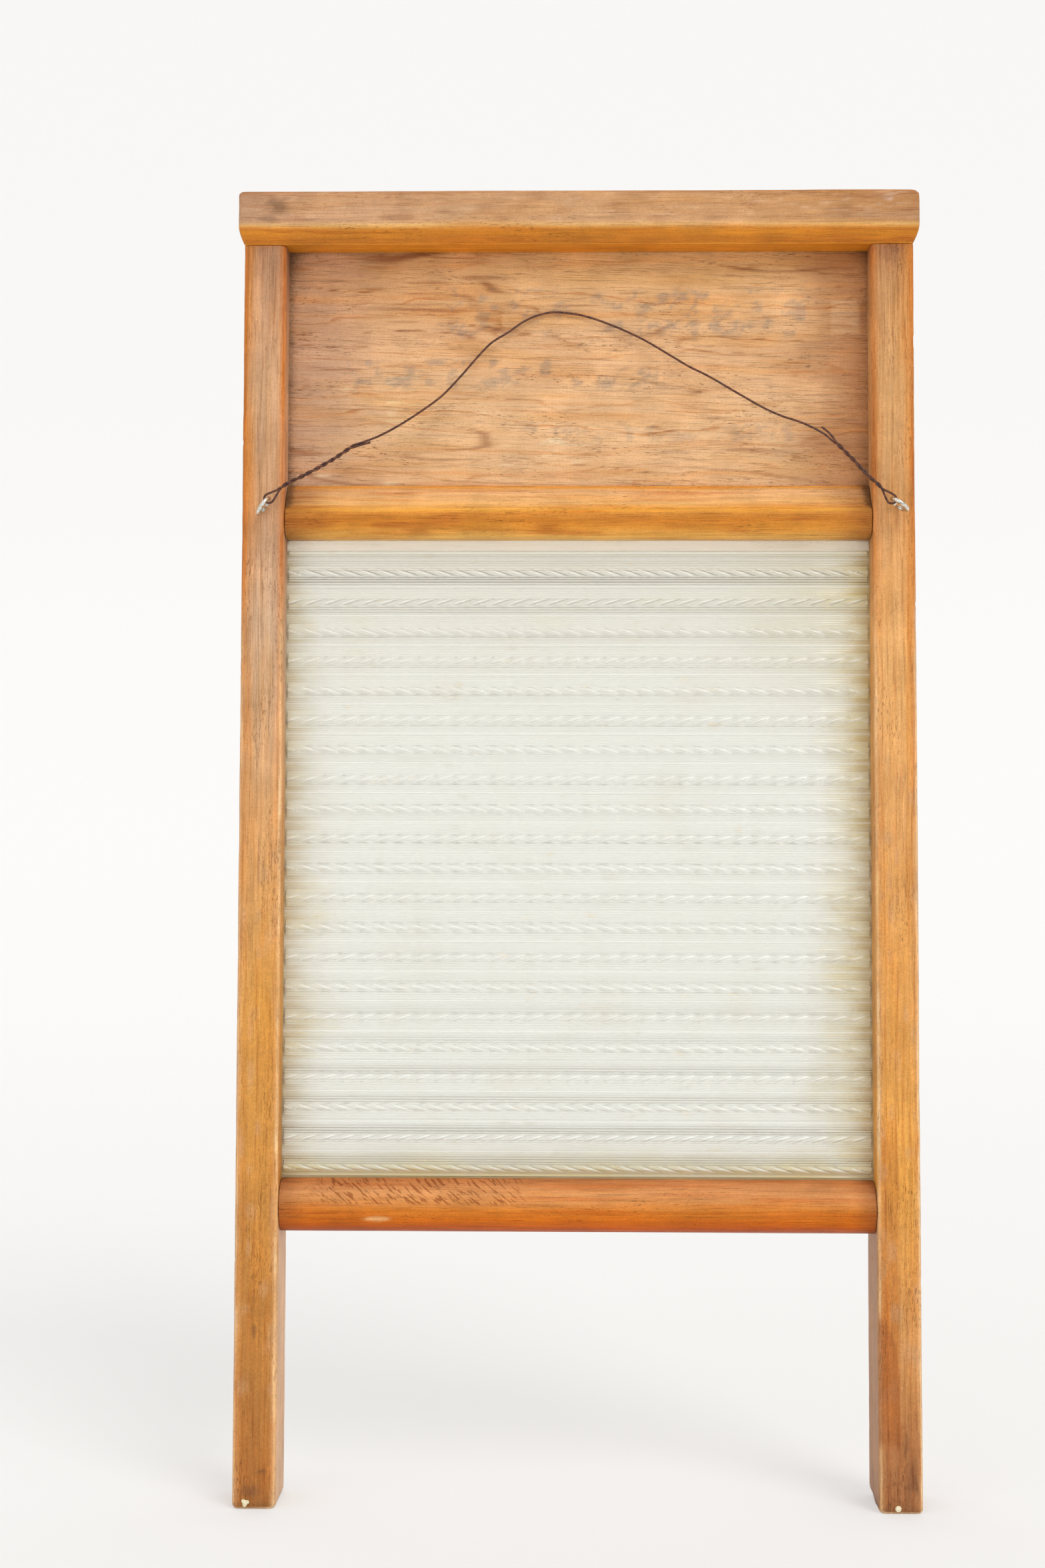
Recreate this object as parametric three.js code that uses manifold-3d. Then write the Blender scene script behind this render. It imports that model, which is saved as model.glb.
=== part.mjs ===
// Antique washboard: a pine frame that holds a thin top panel and a ribbed glass washing panel,
// with a hanging wire between two screw eyes in the front of the stiles.
// Millimetres. +Z is up, the board stands on its feet at Z = 0 and its front faces -Y.
// X = 0 and Y = 0 are the middle of the wooden frame.

import * as THREE from 'three';
import { mergeVertices } from 'three/addons/utils/BufferGeometryUtils.js';
import Module from 'manifold-3d';

const wasm = await Module();
wasm.setup();

// ---- driving dimensions ----

const BOARD_HEIGHT = 609;
const CLEAR_WIDTH = 274; // between the stiles
const CLEARANCE = 0.3; // between pieces that touch
const CUT_PAST = 5; // how far a cutting shape runs past the face it opens
const ARC_STEPS = 4; // segments in a rounded corner

const STILE = { width: 20, depth: 30, edge: 2.5 };
const CAP = { width: 318.6, depth: 38, height: 25, topEdge: 2.5 };
// The cap's lower edge is moulded: a hollow curve rises from narrow to full size.
const MOULDING = {
  height: 8,
  front: { bendIn: 0.4, bendUp: 0.55 },
  end: { narrower: 2.6, bendIn: 0.3, bendUp: 0.6 },
};
const GROOVE = { width: 7, depth: 6 };
const INSERT_THICKNESS = GROOVE.width - 2 * CLEARANCE;

// Middle rail: a soap ledge slopes from the panel to a rounded nose over the glass.
const MIDDLE_RAIL = { bottom: 446, top: 471.7, lip: 5, slopeFoot: 13.2, flat: 8 };
const NOSE = { low: 453.5, high: 456.5, bend: 458.5, slopeFoot: 460 };
// Bottom rail: a round-fronted bar with a flat stretch in the middle of its thickness.
const BOTTOM_RAIL = { middle: 135.9, radius: 12.25 };

const GLASS = { valley: 3.4, crest: 4.4, ropeTop: 5.4, ribbedHalf: 136, seat: 0.5 };
const ROPE = { count: 21, pitch: 13.89, top: 430.6, halfHeight: 1.5, crownHalf: 0.8 };
const GLASS_BAND = { lowest: 148.8, fluteEdge: 440.9, plainEdge: 441.9, highest: 445.4 };

const NAIL = { radius: 1.1, headRadius: 2.5, headThickness: 1, point: 3, bore: 1.4, headBore: 2.9 };
const CAP_NAIL = { length: 45, offset: 8 };
const RAIL_NAIL = { length: 38 };
const MIDDLE_NAIL = { offset: 9, height: 452 };
const BOTTOM_NAIL = { offset: 8, height: 134 };

const TACK = { radius: 0.6, length: 8, bore: 0.9, headGap: CLEARANCE };
const TACK_DOME = { height: 0.7, shoulderReach: 0.75, shoulderRise: 0.7 };
const TACKS = {
  left: { x: -150.8, z: 3.1, head: 2.1 },
  right: { x: 145.5, z: 2.6, head: 1.5 },
};

const EYE = {
  ring: 4.3, wire: 0.95, shank: 10, bore: 1.3, standOff: 0.7, splitDeg: 18, weld: 0.38, steps: 26,
};
const EYES = {
  left: { x: -145.7, z: 459.1, tiltDeg: 56 },
  right: { x: 148.2, z: 459.7, tiltDeg: 144 },
};

const WIRE = { radius: 0.5, twistRadius: 0.95, sides: 8 };
const WIRE_STEPS = { route: 72, twist: 10, loop: 28, tail: 3 };
const LOOP = { radius: 2.2, bends: 6, shoulder: 2.6, narrowing: 0.85 };
const WIRE_EYE = { y: -21, z: 461.8 }; // where the wire's plane leaves the eyes
const WIRE_PEAK = { y: -4.1, z: 554.9 }; // where the wire leans on the panel
// The wire's route across the board, as x and z: out of the left eye, over its peak, down to the right eye.
const WIRE_ROUTE = [
  [-136.4, 469.1], [-126.3, 474.5], [-113.2, 482.3], [-105, 488], [-92.6, 493.3], [-82.7, 499],
  [-71.9, 506.5], [-63.8, 513], [-54.5, 523.4], [-47, 532.7], [-40.5, 539.7], [-33, 544.7],
  [-25.4, 550.3], [-17.9, 553.7], [-11.2, 554.9], [-2.7, 554.2], [4.8, 552.5], [15.8, 548.4],
  [29.9, 541.6], [43.8, 532.9], [52.2, 527.5], [61, 522.8], [76.5, 513.1], [86.9, 506.8],
  [95.2, 502.8], [104.4, 499.5], [112, 495.6], [118.6, 491], [125.5, 483.8], [133.2, 475],
  [139.6, 468.4],
];
const LEFT_TWIST_POINTS = 4; // the first points of the route, where the wire is twisted on itself
const RIGHT_TWIST_POINTS = 4; // and the last ones
const LEFT_TAIL = [[-105, 488], [-101, 488.9], [-96.9, 490]];
const RIGHT_TAIL = [[118.6, 491], [117, 494.4], [113.6, 497.4]];

const WELD_DISTANCE = 1e-4; // corners nearer than this are one corner
const ROD_SIDES = 12;
const NAIL_SIDES = 10;

const COLORS = {
  stile: 0xb98352, cap: 0xbd8a58, panel: 0xc49468, rail: 0xb8712f, glass: 0xe6e9de,
  nail: 0x6e655c, zinc: 0xc9c8c2, wire: 0x5a3a2e, tack: 0xe8dfb8,
};

// ---- solids ----

const UP = new THREE.Vector3(0, 0, 1);

function toSolid(geometry) {
  const bare = geometry.clone();
  bare.deleteAttribute('normal');
  bare.deleteAttribute('uv');
  const welded = mergeVertices(bare, WELD_DISTANCE);
  return new wasm.Manifold(new wasm.Mesh({
    numProp: 3,
    vertProperties: welded.getAttribute('position').array,
    triVerts: new Uint32Array(welded.getIndex().array),
  }));
}

function toGeometry(solid) {
  const mesh = solid.getMesh();
  const geometry = new THREE.BufferGeometry();
  geometry.setAttribute('position', new THREE.BufferAttribute(mesh.vertProperties, 3));
  geometry.setIndex(new THREE.BufferAttribute(mesh.triVerts, 1));
  return geometry;
}

function cut(geometry, cutters) {
  const solid = cutters.reduce((rest, cutter) => rest.subtract(toSolid(cutter)), toSolid(geometry));
  return toGeometry(solid);
}

function join(geometries) {
  const [first, ...rest] = geometries.map(toSolid);
  return toGeometry(rest.reduce((whole, solid) => whole.add(solid), first));
}

function boxBetween(low, high) {
  const size = high.map((value, axis) => value - low[axis]);
  const box = new THREE.BoxGeometry(...size);
  return box.translate(...high.map((value, axis) => (value + low[axis]) / 2));
}

// A cylinder from one point towards another.
function rod(radius, from, direction, length, sides = ROD_SIDES) {
  const cylinder = new THREE.CylinderGeometry(radius, radius, length, sides);
  cylinder.translate(0, length / 2, 0);
  cylinder.applyQuaternion(new THREE.Quaternion().setFromUnitVectors(
    new THREE.Vector3(0, 1, 0), direction));
  return cylinder.translate(...from);
}

// Extrudes a section drawn as (Y, Z) along X, centred on X = 0.
function alongX(section, length) {
  const bar = new THREE.ExtrudeGeometry(section, { depth: length, bevelEnabled: false });
  bar.translate(0, 0, -length / 2);
  return bar.applyMatrix4(new THREE.Matrix4().makeBasis(
    new THREE.Vector3(0, 1, 0), UP, new THREE.Vector3(1, 0, 0)));
}

// Extrudes an outline drawn as (X, Z) along Y, centred on Y = 0.
function alongY(outline, length) {
  const slab = new THREE.ExtrudeGeometry(outline, { depth: length, bevelEnabled: false });
  slab.translate(0, 0, -length / 2);
  return slab.rotateX(Math.PI / 2);
}

// A closed outline from one half of it, drawn at positive first coordinates, and its mirror image.
function mirrored(drawHalf) {
  const half = new THREE.Path();
  drawHalf(half);
  const points = half.getPoints(ARC_STEPS);
  const others = points.map((point) => new THREE.Vector2(-point.x, point.y)).reverse();
  return new THREE.Shape([...points, ...others]);
}

function roundedRectangle(width, depth, radius) {
  const x = width / 2 - radius;
  const y = depth / 2 - radius;
  const shape = new THREE.Shape();
  const corners = [[x, y], [-x, y], [-x, -y], [x, -y]];
  corners.forEach(([cx, cy], quarter) => {
    const start = quarter * Math.PI / 2;
    shape.absarc(cx, cy, radius, start, start + Math.PI / 2);
  });
  return shape;
}

// ---- fasteners ----

// A nail with its head's top at the origin, driven along its direction.
function nail(length) {
  const profile = [
    [0, -length],
    [NAIL.radius, NAIL.point - length],
    [NAIL.radius, -NAIL.headThickness],
    [NAIL.headRadius, -NAIL.headThickness],
    [NAIL.headRadius, 0],
    [0, 0],
  ];
  return new THREE.LatheGeometry(profile.map(([r, y]) => new THREE.Vector2(r, y)), NAIL_SIDES);
}

// The hole that a nail sits in, open at its head.
function nailBore(from, direction, length) {
  const start = new THREE.Vector3(...from);
  const outside = start.clone().addScaledVector(direction, -CUT_PAST);
  const headDepth = CUT_PAST + NAIL.headThickness + CLEARANCE;
  return [
    rod(NAIL.bore, outside.toArray(), direction, CUT_PAST + length + CLEARANCE, NAIL_SIDES),
    rod(NAIL.headBore, outside.toArray(), direction, headDepth, NAIL_SIDES),
  ];
}

const stileMiddle = (CLEAR_WIDTH + STILE.width) / 2;
const stileOutside = CLEAR_WIDTH / 2 + STILE.width;
const DOWN = new THREE.Vector3(0, 0, -1);

// Every nail: its name, where its head is, which way it is driven and how long it is.
function nailPlaces() {
  const places = [];
  for (const side of [-1, 1]) {
    const inward = new THREE.Vector3(-side, 0, 0);
    for (const face of [-1, 1]) {
      const number = places.length / 3 + 1;
      places.push({
        name: `top_rail_nail_${number}`,
        from: [side * stileMiddle, face * CAP_NAIL.offset, BOARD_HEIGHT],
        direction: DOWN,
        length: CAP_NAIL.length,
      });
      for (const [rail, spot] of [['middle', MIDDLE_NAIL], ['bottom', BOTTOM_NAIL]]) {
        places.push({
          name: `${rail}_rail_nail_${number}`,
          from: [side * stileOutside, face * spot.offset, spot.height],
          direction: inward,
          length: RAIL_NAIL.length,
        });
      }
    }
  }
  return places;
}

const NAILS = nailPlaces();

function boresIn(part) {
  return NAILS.filter((place) => place.name.startsWith(part))
    .flatMap((place) => nailBore(place.from, place.direction, place.length));
}

function tack(spot) {
  const domeStart = TACK.headGap;
  const profile = [
    [0, -TACK.length],
    [TACK.radius, -TACK.length + TACK.radius],
    [TACK.radius, domeStart],
    [spot.head, domeStart],
    [spot.head * TACK_DOME.shoulderReach, domeStart + TACK_DOME.height * TACK_DOME.shoulderRise],
    [0, domeStart + TACK_DOME.height],
  ];
  return new THREE.LatheGeometry(profile.map(([r, y]) => new THREE.Vector2(r, y)), NAIL_SIDES);
}

// ---- screw eyes and wire ----

// The eye's ring stands square to the stile, with its plane turned by the tilt.
function screwEye(spot) {
  const ringY = -STILE.depth / 2 - EYE.standOff - EYE.ring - EYE.wire;
  const open = THREE.MathUtils.degToRad(EYE.splitDeg);
  const tilt = THREE.MathUtils.degToRad(spot.tiltDeg);
  const inPlane = new THREE.Vector3(Math.cos(tilt), 0, Math.sin(tilt));
  const back = new THREE.Vector3(0, 1, 0);
  const points = [];
  for (let i = 0; i <= EYE.steps; i += 1) {
    // from the shank, round the ring and back to the split beside the shank
    const turn = (2 * Math.PI - open) * i / EYE.steps;
    points.push(new THREE.Vector3(spot.x, ringY, spot.z)
      .addScaledVector(back, EYE.ring * Math.cos(turn))
      .addScaledVector(inPlane, -EYE.ring * Math.sin(turn)));
  }
  const ring = tube(points, EYE.wire, EYE.steps);
  const shankStart = [spot.x, ringY + EYE.ring - EYE.weld, spot.z];
  const shankLength = EYE.weld + EYE.wire + EYE.standOff + EYE.shank;
  return join([ring, rod(EYE.wire, shankStart, back, shankLength, WIRE.sides)]);
}

function eyeBore(spot) {
  const outside = [spot.x, -STILE.depth / 2 - CUT_PAST, spot.z];
  return rod(EYE.bore, outside, new THREE.Vector3(0, 1, 0), CUT_PAST + EYE.shank + CLEARANCE);
}

function tube(points, radius, steps) {
  const section = new THREE.Shape();
  for (let i = 0; i < WIRE.sides; i += 1) {
    const angle = 2 * Math.PI * i / WIRE.sides;
    const corner = [radius * Math.cos(angle), radius * Math.sin(angle)];
    if (i === 0) section.moveTo(...corner);
    else section.lineTo(...corner);
  }
  section.closePath();
  const path = new THREE.CatmullRomCurve3(points, false, 'centripetal');
  return new THREE.ExtrudeGeometry(section, { steps, extrudePath: path, bevelEnabled: false });
}

// The wire leans back from the eyes to its peak on the panel.
function onWirePlane([x, z]) {
  const lean = (WIRE_PEAK.y - WIRE_EYE.y) / (WIRE_PEAK.z - WIRE_EYE.z);
  return new THREE.Vector3(x, WIRE_EYE.y + (z - WIRE_EYE.z) * lean, z);
}

// A teardrop loop round the top of an eye's ring, open at the neck where the wire is twisted.
function eyeLoop(spot, neck) {
  const tilt = THREE.MathUtils.degToRad(spot.tiltDeg);
  const hook = new THREE.Vector3(
    spot.x + EYE.ring * Math.cos(tilt), WIRE_EYE.y, spot.z + EYE.ring * Math.sin(tilt));
  const towards = neck.clone().sub(hook).normalize();
  const across = new THREE.Vector3().crossVectors(towards, new THREE.Vector3(0, 1, 0)).normalize();
  const at = (along, aside) => hook.clone()
    .addScaledVector(towards, along).addScaledVector(across, aside);
  const round = [];
  for (let i = 0; i <= LOOP.bends; i += 1) {
    const angle = Math.PI * i / LOOP.bends;
    round.push(at(-LOOP.radius * Math.sin(angle), LOOP.radius * Math.cos(angle)));
  }
  const aside = LOOP.radius * LOOP.narrowing;
  return [neck, at(LOOP.shoulder, aside), ...round, at(LOOP.shoulder, -aside), neck];
}

function hangingWire() {
  const route = WIRE_ROUTE.map(onWirePlane);
  const leftTwist = route.slice(0, LEFT_TWIST_POINTS);
  const rightTwist = route.slice(-RIGHT_TWIST_POINTS);
  const [leftNeck] = route;
  const rightNeck = route[route.length - 1];
  return join([
    tube(route, WIRE.radius, WIRE_STEPS.route),
    tube(leftTwist, WIRE.twistRadius, WIRE_STEPS.twist),
    tube(rightTwist, WIRE.twistRadius, WIRE_STEPS.twist),
    tube(eyeLoop(EYES.left, leftNeck), WIRE.radius, WIRE_STEPS.loop),
    tube(eyeLoop(EYES.right, rightNeck), WIRE.radius, WIRE_STEPS.loop),
    tube(LEFT_TAIL.map(onWirePlane), WIRE.radius, WIRE_STEPS.tail),
    tube(RIGHT_TAIL.map(onWirePlane), WIRE.radius, WIRE_STEPS.tail),
  ]);
}

// ---- the wooden frame and what it holds ----

const capBottom = BOARD_HEIGHT - CAP.height;

function stile(side, eyeSpot, tackSpot) {
  const height = capBottom - CLEARANCE;
  const section = roundedRectangle(STILE.width, STILE.depth, STILE.edge);
  const post = new THREE.ExtrudeGeometry(section, {
    depth: height, bevelEnabled: false, curveSegments: ARC_STEPS,
  });
  post.translate(side * stileMiddle, 0, 0);
  const inner = side * CLEAR_WIDTH / 2;
  const grooveBottom = inner + side * GROOVE.depth;
  const open = inner - side * CUT_PAST;
  const groove = boxBetween(
    [Math.min(open, grooveBottom), -GROOVE.width / 2, BOTTOM_RAIL.middle],
    [Math.max(open, grooveBottom), GROOVE.width / 2, height + CUT_PAST]);
  const tackFrom = [tackSpot.x, -STILE.depth / 2 - CUT_PAST, tackSpot.z];
  const tackBore = rod(TACK.bore, tackFrom, new THREE.Vector3(0, 1, 0),
    CUT_PAST + TACK.length + CLEARANCE);
  const bores = NAILS.filter((place) => Math.sign(place.from[0]) === side)
    .flatMap((place) => nailBore(place.from, place.direction, place.length));
  return cut(post, [groove, eyeBore(eyeSpot), tackBore, ...bores]);
}

function topRail() {
  const halfDepth = CAP.depth / 2;
  const { front, end } = MOULDING;
  const section = mirrored((half) => {
    half.moveTo(STILE.depth / 2, capBottom);
    half.quadraticCurveTo(halfDepth - front.bendIn, capBottom + MOULDING.height * front.bendUp,
      halfDepth, capBottom + MOULDING.height);
    half.lineTo(halfDepth, BOARD_HEIGHT - CAP.topEdge);
    half.absarc(halfDepth - CAP.topEdge, BOARD_HEIGHT - CAP.topEdge, CAP.topEdge, 0, Math.PI / 2);
  });
  const halfWidth = CAP.width / 2;
  const outline = mirrored((half) => {
    half.moveTo(halfWidth - end.narrower, capBottom);
    half.quadraticCurveTo(halfWidth - end.bendIn, capBottom + MOULDING.height * end.bendUp,
      halfWidth, capBottom + MOULDING.height);
    half.lineTo(halfWidth, BOARD_HEIGHT - CAP.topEdge);
    half.absarc(halfWidth - CAP.topEdge, BOARD_HEIGHT - CAP.topEdge, CAP.topEdge, 0, Math.PI / 2);
  });
  const moulded = toSolid(alongX(section, CAP.width))
    .intersect(toSolid(alongY(outline, CAP.depth + 2 * CUT_PAST)));
  const grooveEnd = CLEAR_WIDTH / 2 + GROOVE.depth;
  const groove = boxBetween(
    [-grooveEnd, -GROOVE.width / 2, capBottom - CUT_PAST],
    [grooveEnd, GROOVE.width / 2, capBottom + GROOVE.depth]);
  return cut(toGeometry(moulded), [groove, ...boresIn('top')]);
}

function middleRail() {
  const slot = GROOVE.width / 2;
  const nose = STILE.depth / 2;
  const section = mirrored((half) => {
    half.moveTo(slot, MIDDLE_RAIL.bottom + GROOVE.depth);
    half.lineTo(slot, MIDDLE_RAIL.bottom);
    half.lineTo(MIDDLE_RAIL.flat, MIDDLE_RAIL.bottom);
    half.absellipse(MIDDLE_RAIL.flat, NOSE.low, nose - MIDDLE_RAIL.flat,
      NOSE.low - MIDDLE_RAIL.bottom, -Math.PI / 2, 0);
    half.lineTo(nose, NOSE.high);
    half.quadraticCurveTo(nose, NOSE.bend, MIDDLE_RAIL.slopeFoot, NOSE.slopeFoot);
    half.lineTo(MIDDLE_RAIL.lip, MIDDLE_RAIL.top);
    half.lineTo(slot, MIDDLE_RAIL.top);
    half.lineTo(slot, MIDDLE_RAIL.top - GROOVE.depth);
  });
  return cut(alongX(section, CLEAR_WIDTH - 2 * CLEARANCE), boresIn('middle'));
}

function bottomRail() {
  const { middle, radius } = BOTTOM_RAIL;
  const slot = GROOVE.width / 2;
  const centre = STILE.depth / 2 - radius;
  const slotTurn = Math.acos((slot - centre) / radius);
  const rim = middle + radius * Math.sin(slotTurn);
  const section = mirrored((half) => {
    half.moveTo(centre, middle - radius);
    half.absarc(centre, middle, radius, -Math.PI / 2, slotTurn);
    half.lineTo(slot, rim - GROOVE.depth);
  });
  return cut(alongX(section, CLEAR_WIDTH - 2 * CLEARANCE), boresIn('bottom'));
}

const insertHalf = CLEAR_WIDTH / 2 + GROOVE.depth - CLEARANCE;

function topPanel() {
  return boxBetween(
    [-insertHalf, -INSERT_THICKNESS / 2, MIDDLE_RAIL.top - GROOVE.depth + CLEARANCE],
    [insertHalf, INSERT_THICKNESS / 2, capBottom + GROOVE.depth - CLEARANCE]);
}

// The glass: a flat plate in the grooves, with rope ribs on crests and shallow valleys between them.
function glassPanel() {
  const foot = BOTTOM_RAIL.middle + BOTTOM_RAIL.radius - GROOVE.depth + GLASS.seat;
  const plate = boxBetween(
    [-insertHalf, -INSERT_THICKNESS / 2, foot],
    [insertHalf, INSERT_THICKNESS / 2, MIDDLE_RAIL.bottom + GROOVE.depth - CLEARANCE]);
  const section = mirrored((half) => {
    half.moveTo(GLASS.crest, GLASS_BAND.lowest);
    for (let row = ROPE.count - 1; row >= 0; row -= 1) {
      const z = ROPE.top - row * ROPE.pitch;
      half.lineTo(GLASS.crest, z - ROPE.halfHeight);
      half.lineTo(GLASS.ropeTop, z - ROPE.crownHalf);
      half.lineTo(GLASS.ropeTop, z + ROPE.crownHalf);
      half.lineTo(GLASS.crest, z + ROPE.halfHeight);
      const next = Math.min(z + ROPE.pitch - ROPE.halfHeight, GLASS_BAND.fluteEdge);
      half.quadraticCurveTo(2 * GLASS.valley - GLASS.crest, (z + ROPE.halfHeight + next) / 2,
        GLASS.crest, next);
    }
    half.lineTo(GLASS.valley, GLASS_BAND.plainEdge);
    half.lineTo(GLASS.valley, GLASS_BAND.highest);
  });
  return join([plate, alongX(section, 2 * GLASS.ribbedHalf)]);
}

// ---- assembly ----

function finish(color, roughness, metalness = 0) {
  return new THREE.MeshStandardMaterial({ color, roughness, metalness });
}

const FINISHES = {
  stile: finish(COLORS.stile, 0.7),
  cap: finish(COLORS.cap, 0.7),
  panel: finish(COLORS.panel, 0.75),
  rail: finish(COLORS.rail, 0.55),
  glass: finish(COLORS.glass, 0.2),
  nail: finish(COLORS.nail, 0.5, 1),
  zinc: finish(COLORS.zinc, 0.3, 1),
  wire: finish(COLORS.wire, 0.6, 1),
  tack: finish(COLORS.tack, 0.4),
};

const board = new THREE.Group();

function add(name, geometry, material) {
  const mesh = new THREE.Mesh(geometry, material);
  mesh.name = name;
  geometry.computeVertexNormals();
  board.add(mesh);
  return mesh;
}

function addFasteners() {
  for (const place of NAILS) {
    const mesh = add(place.name, nail(place.length), FINISHES.nail);
    mesh.position.set(...place.from);
    // a nail's head is at its +Y end, and it is driven along its own -Y
    mesh.quaternion.setFromUnitVectors(new THREE.Vector3(0, -1, 0), place.direction);
  }
  for (const [side, spot] of Object.entries(TACKS)) {
    const mesh = add(`${side}_foot_tack`, tack(spot), FINISHES.tack);
    mesh.position.set(spot.x, -STILE.depth / 2, spot.z);
    mesh.rotation.z = Math.PI;
  }
}

add('left_stile', stile(-1, EYES.left, TACKS.left), FINISHES.stile);
add('right_stile', stile(1, EYES.right, TACKS.right), FINISHES.stile);
add('top_rail', topRail(), FINISHES.cap);
add('top_panel', topPanel(), FINISHES.panel);
add('middle_rail', middleRail(), FINISHES.rail);
add('bottom_rail', bottomRail(), FINISHES.rail);
add('glass_panel', glassPanel(), FINISHES.glass);
addFasteners();
add('left_screw_eye', screwEye(EYES.left), FINISHES.zinc);
add('right_screw_eye', screwEye(EYES.right), FINISHES.zinc);
add('hanging_wire', hangingWire(), FINISHES.wire);

export default board;
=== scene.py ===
"""An antique washboard: worn pine frame, ribbed glass washing panel and a hanging wire.

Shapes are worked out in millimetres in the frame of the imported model, with +Z up and the front
facing -Y, and become metres when their meshes are made.
"""

import functools
import itertools
import math
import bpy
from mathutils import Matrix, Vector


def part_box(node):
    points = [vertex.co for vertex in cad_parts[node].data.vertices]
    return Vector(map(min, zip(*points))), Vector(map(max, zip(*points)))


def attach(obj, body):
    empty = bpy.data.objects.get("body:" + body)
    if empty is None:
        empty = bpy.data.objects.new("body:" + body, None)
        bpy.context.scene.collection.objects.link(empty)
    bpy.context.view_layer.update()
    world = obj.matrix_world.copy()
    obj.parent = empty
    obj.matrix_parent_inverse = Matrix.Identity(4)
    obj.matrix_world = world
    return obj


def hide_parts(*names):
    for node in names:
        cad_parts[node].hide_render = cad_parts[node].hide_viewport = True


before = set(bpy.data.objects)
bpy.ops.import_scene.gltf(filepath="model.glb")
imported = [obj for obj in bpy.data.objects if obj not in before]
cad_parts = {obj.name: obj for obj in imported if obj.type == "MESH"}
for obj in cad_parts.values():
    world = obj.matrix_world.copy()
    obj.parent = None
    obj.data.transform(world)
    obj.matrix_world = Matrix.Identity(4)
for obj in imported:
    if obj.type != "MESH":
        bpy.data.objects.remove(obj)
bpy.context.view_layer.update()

from types import SimpleNamespace

import bpy
import numpy as np
from mathutils import Matrix, Vector

MM = 0.001
BOARD, SWINGING = "board", "hanging_wire"

# ---- the camera, at the photograph's viewing angle ----

SENSOR_MM, LENS_MM = 36.0, 44.39
CAMERA_PLACE_MM = (-10.6, -907.6, 284.7)
CAMERA_YAW_DEG, CAMERA_PITCH_DEG, CAMERA_ROLL_DEG = 0.95, 2.94, 0.15


def make_camera():
    """A camera that looks along +Y before it is turned left, up and round its own line of sight."""
    camera = bpy.data.objects.new("camera", bpy.data.cameras.new("camera"))
    camera.data.sensor_width, camera.data.lens = SENSOR_MM, LENS_MM
    camera.data.clip_start, camera.data.clip_end = 0.02, 40
    place = Matrix.Translation(Vector(CAMERA_PLACE_MM) * MM)
    for degrees, axis in ((CAMERA_YAW_DEG, "Z"), (90 + CAMERA_PITCH_DEG, "X"), (CAMERA_ROLL_DEG, "Z")):
        place = place @ Matrix.Rotation(math.radians(degrees), 4, axis)
    camera.matrix_world = place
    bpy.context.collection.objects.link(camera)
    bpy.context.scene.camera = camera


make_camera()

# ---- numbers and noise ----


def smooth_step(value, low, high):
    """0 below low, 1 above high and a soft turn between them; high may be the smaller one."""
    t = np.clip((value - low) / (high - low), 0, 1)
    return t * t * (3 - 2 * t)


def lattice(cell, seed):
    """A fixed random number from -1 to 1 for each whole-numbered cell."""
    mixed = (
        cell[..., 0] * 374761393 + cell[..., 1] * 668265263 + cell[..., 2] * 974634777 + seed * 362437
    ) & 0xFFFFFFFF
    mixed = ((mixed ^ (mixed >> 13)) * 1274126177) & 0xFFFFFFFF
    return ((mixed ^ (mixed >> 16)) & 0xFFFFFF) / 0x7FFFFF - 1


def noise(points, size, seed):
    """Smooth noise from -1 to 1, whose lumps are about size (x, y, z) millimetres.

    Each seed gives a pattern of its own.
    """
    p = np.asarray(points, float) / np.asarray(size, float)
    cell = np.floor(p).astype(np.int64)
    t = p - cell
    t = t * t * (3 - 2 * t)
    total = np.zeros(len(p))
    for corner in itertools.product((0, 1), repeat=3):
        weight = np.prod([t[:, k] if c else 1 - t[:, k] for k, c in enumerate(corner)], axis=0)
        total += weight * lattice(cell + np.array(corner), seed)
    return total


def even_lines(low, high, step, extra=()):
    """Grid lines about step apart, with some extra ones."""
    count = max(1, round((high - low) / step))
    return np.unique(np.round(np.concatenate([np.linspace(low, high, count + 1), extra]), 4))


def linear(red, green, blue):
    """A colour on the screen's 0 to 255 scale, as linear numbers."""
    c = np.array([red, green, blue]) / 255
    return np.where(c <= 0.04045, c / 12.92, ((c + 0.055) / 1.055) ** 2.4)


def lay_over(tint, *layers):
    """Lays colours over the colour at each point, each as (colour, how much of it at each point)."""
    for colour, amount in layers:
        amount = np.clip(amount, 0, 1)[:, None]
        tint = tint * (1 - amount) + linear(*colour) * amount
    return tint


# ---- meshes ----


def box_grid(u, v, w):
    """A box's surface as one welded grid on these lines: its points, and its quads facing out."""
    lines = (np.asarray(u), np.asarray(v), np.asarray(w))
    counts = tuple(len(line) for line in lines)
    index = np.indices(counts)
    surface = np.zeros(counts, bool)
    for axis, count in enumerate(counts):
        surface |= (index[axis] == 0) | (index[axis] == count - 1)
    ids = np.full(counts, -1)
    ids[surface] = np.arange(surface.sum())
    points = np.stack([line[index[k][surface]] for k, line in enumerate(lines)], axis=1)
    quads = []
    for axis, end in itertools.product(range(3), (0, -1)):
        side = ids.take(end, axis=axis)
        loop = [side[:-1, :-1], side[1:, :-1], side[1:, 1:], side[:-1, 1:]]
        if (end == 0) != (axis == 1):
            loop.reverse()
        quads.append(np.stack(loop, axis=-1).reshape(-1, 4))
    return points, np.concatenate(quads)


def normals_of(points, quads):
    """The way that the surface faces at each point."""
    a, b, c, d = (points[quads[:, k]] for k in range(4))
    facing = np.cross(c - a, d - b)
    out = np.zeros_like(points)
    for k in range(4):
        np.add.at(out, quads[:, k], facing)
    return out / np.maximum(np.linalg.norm(out, axis=1), 1e-12)[:, None]


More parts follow.
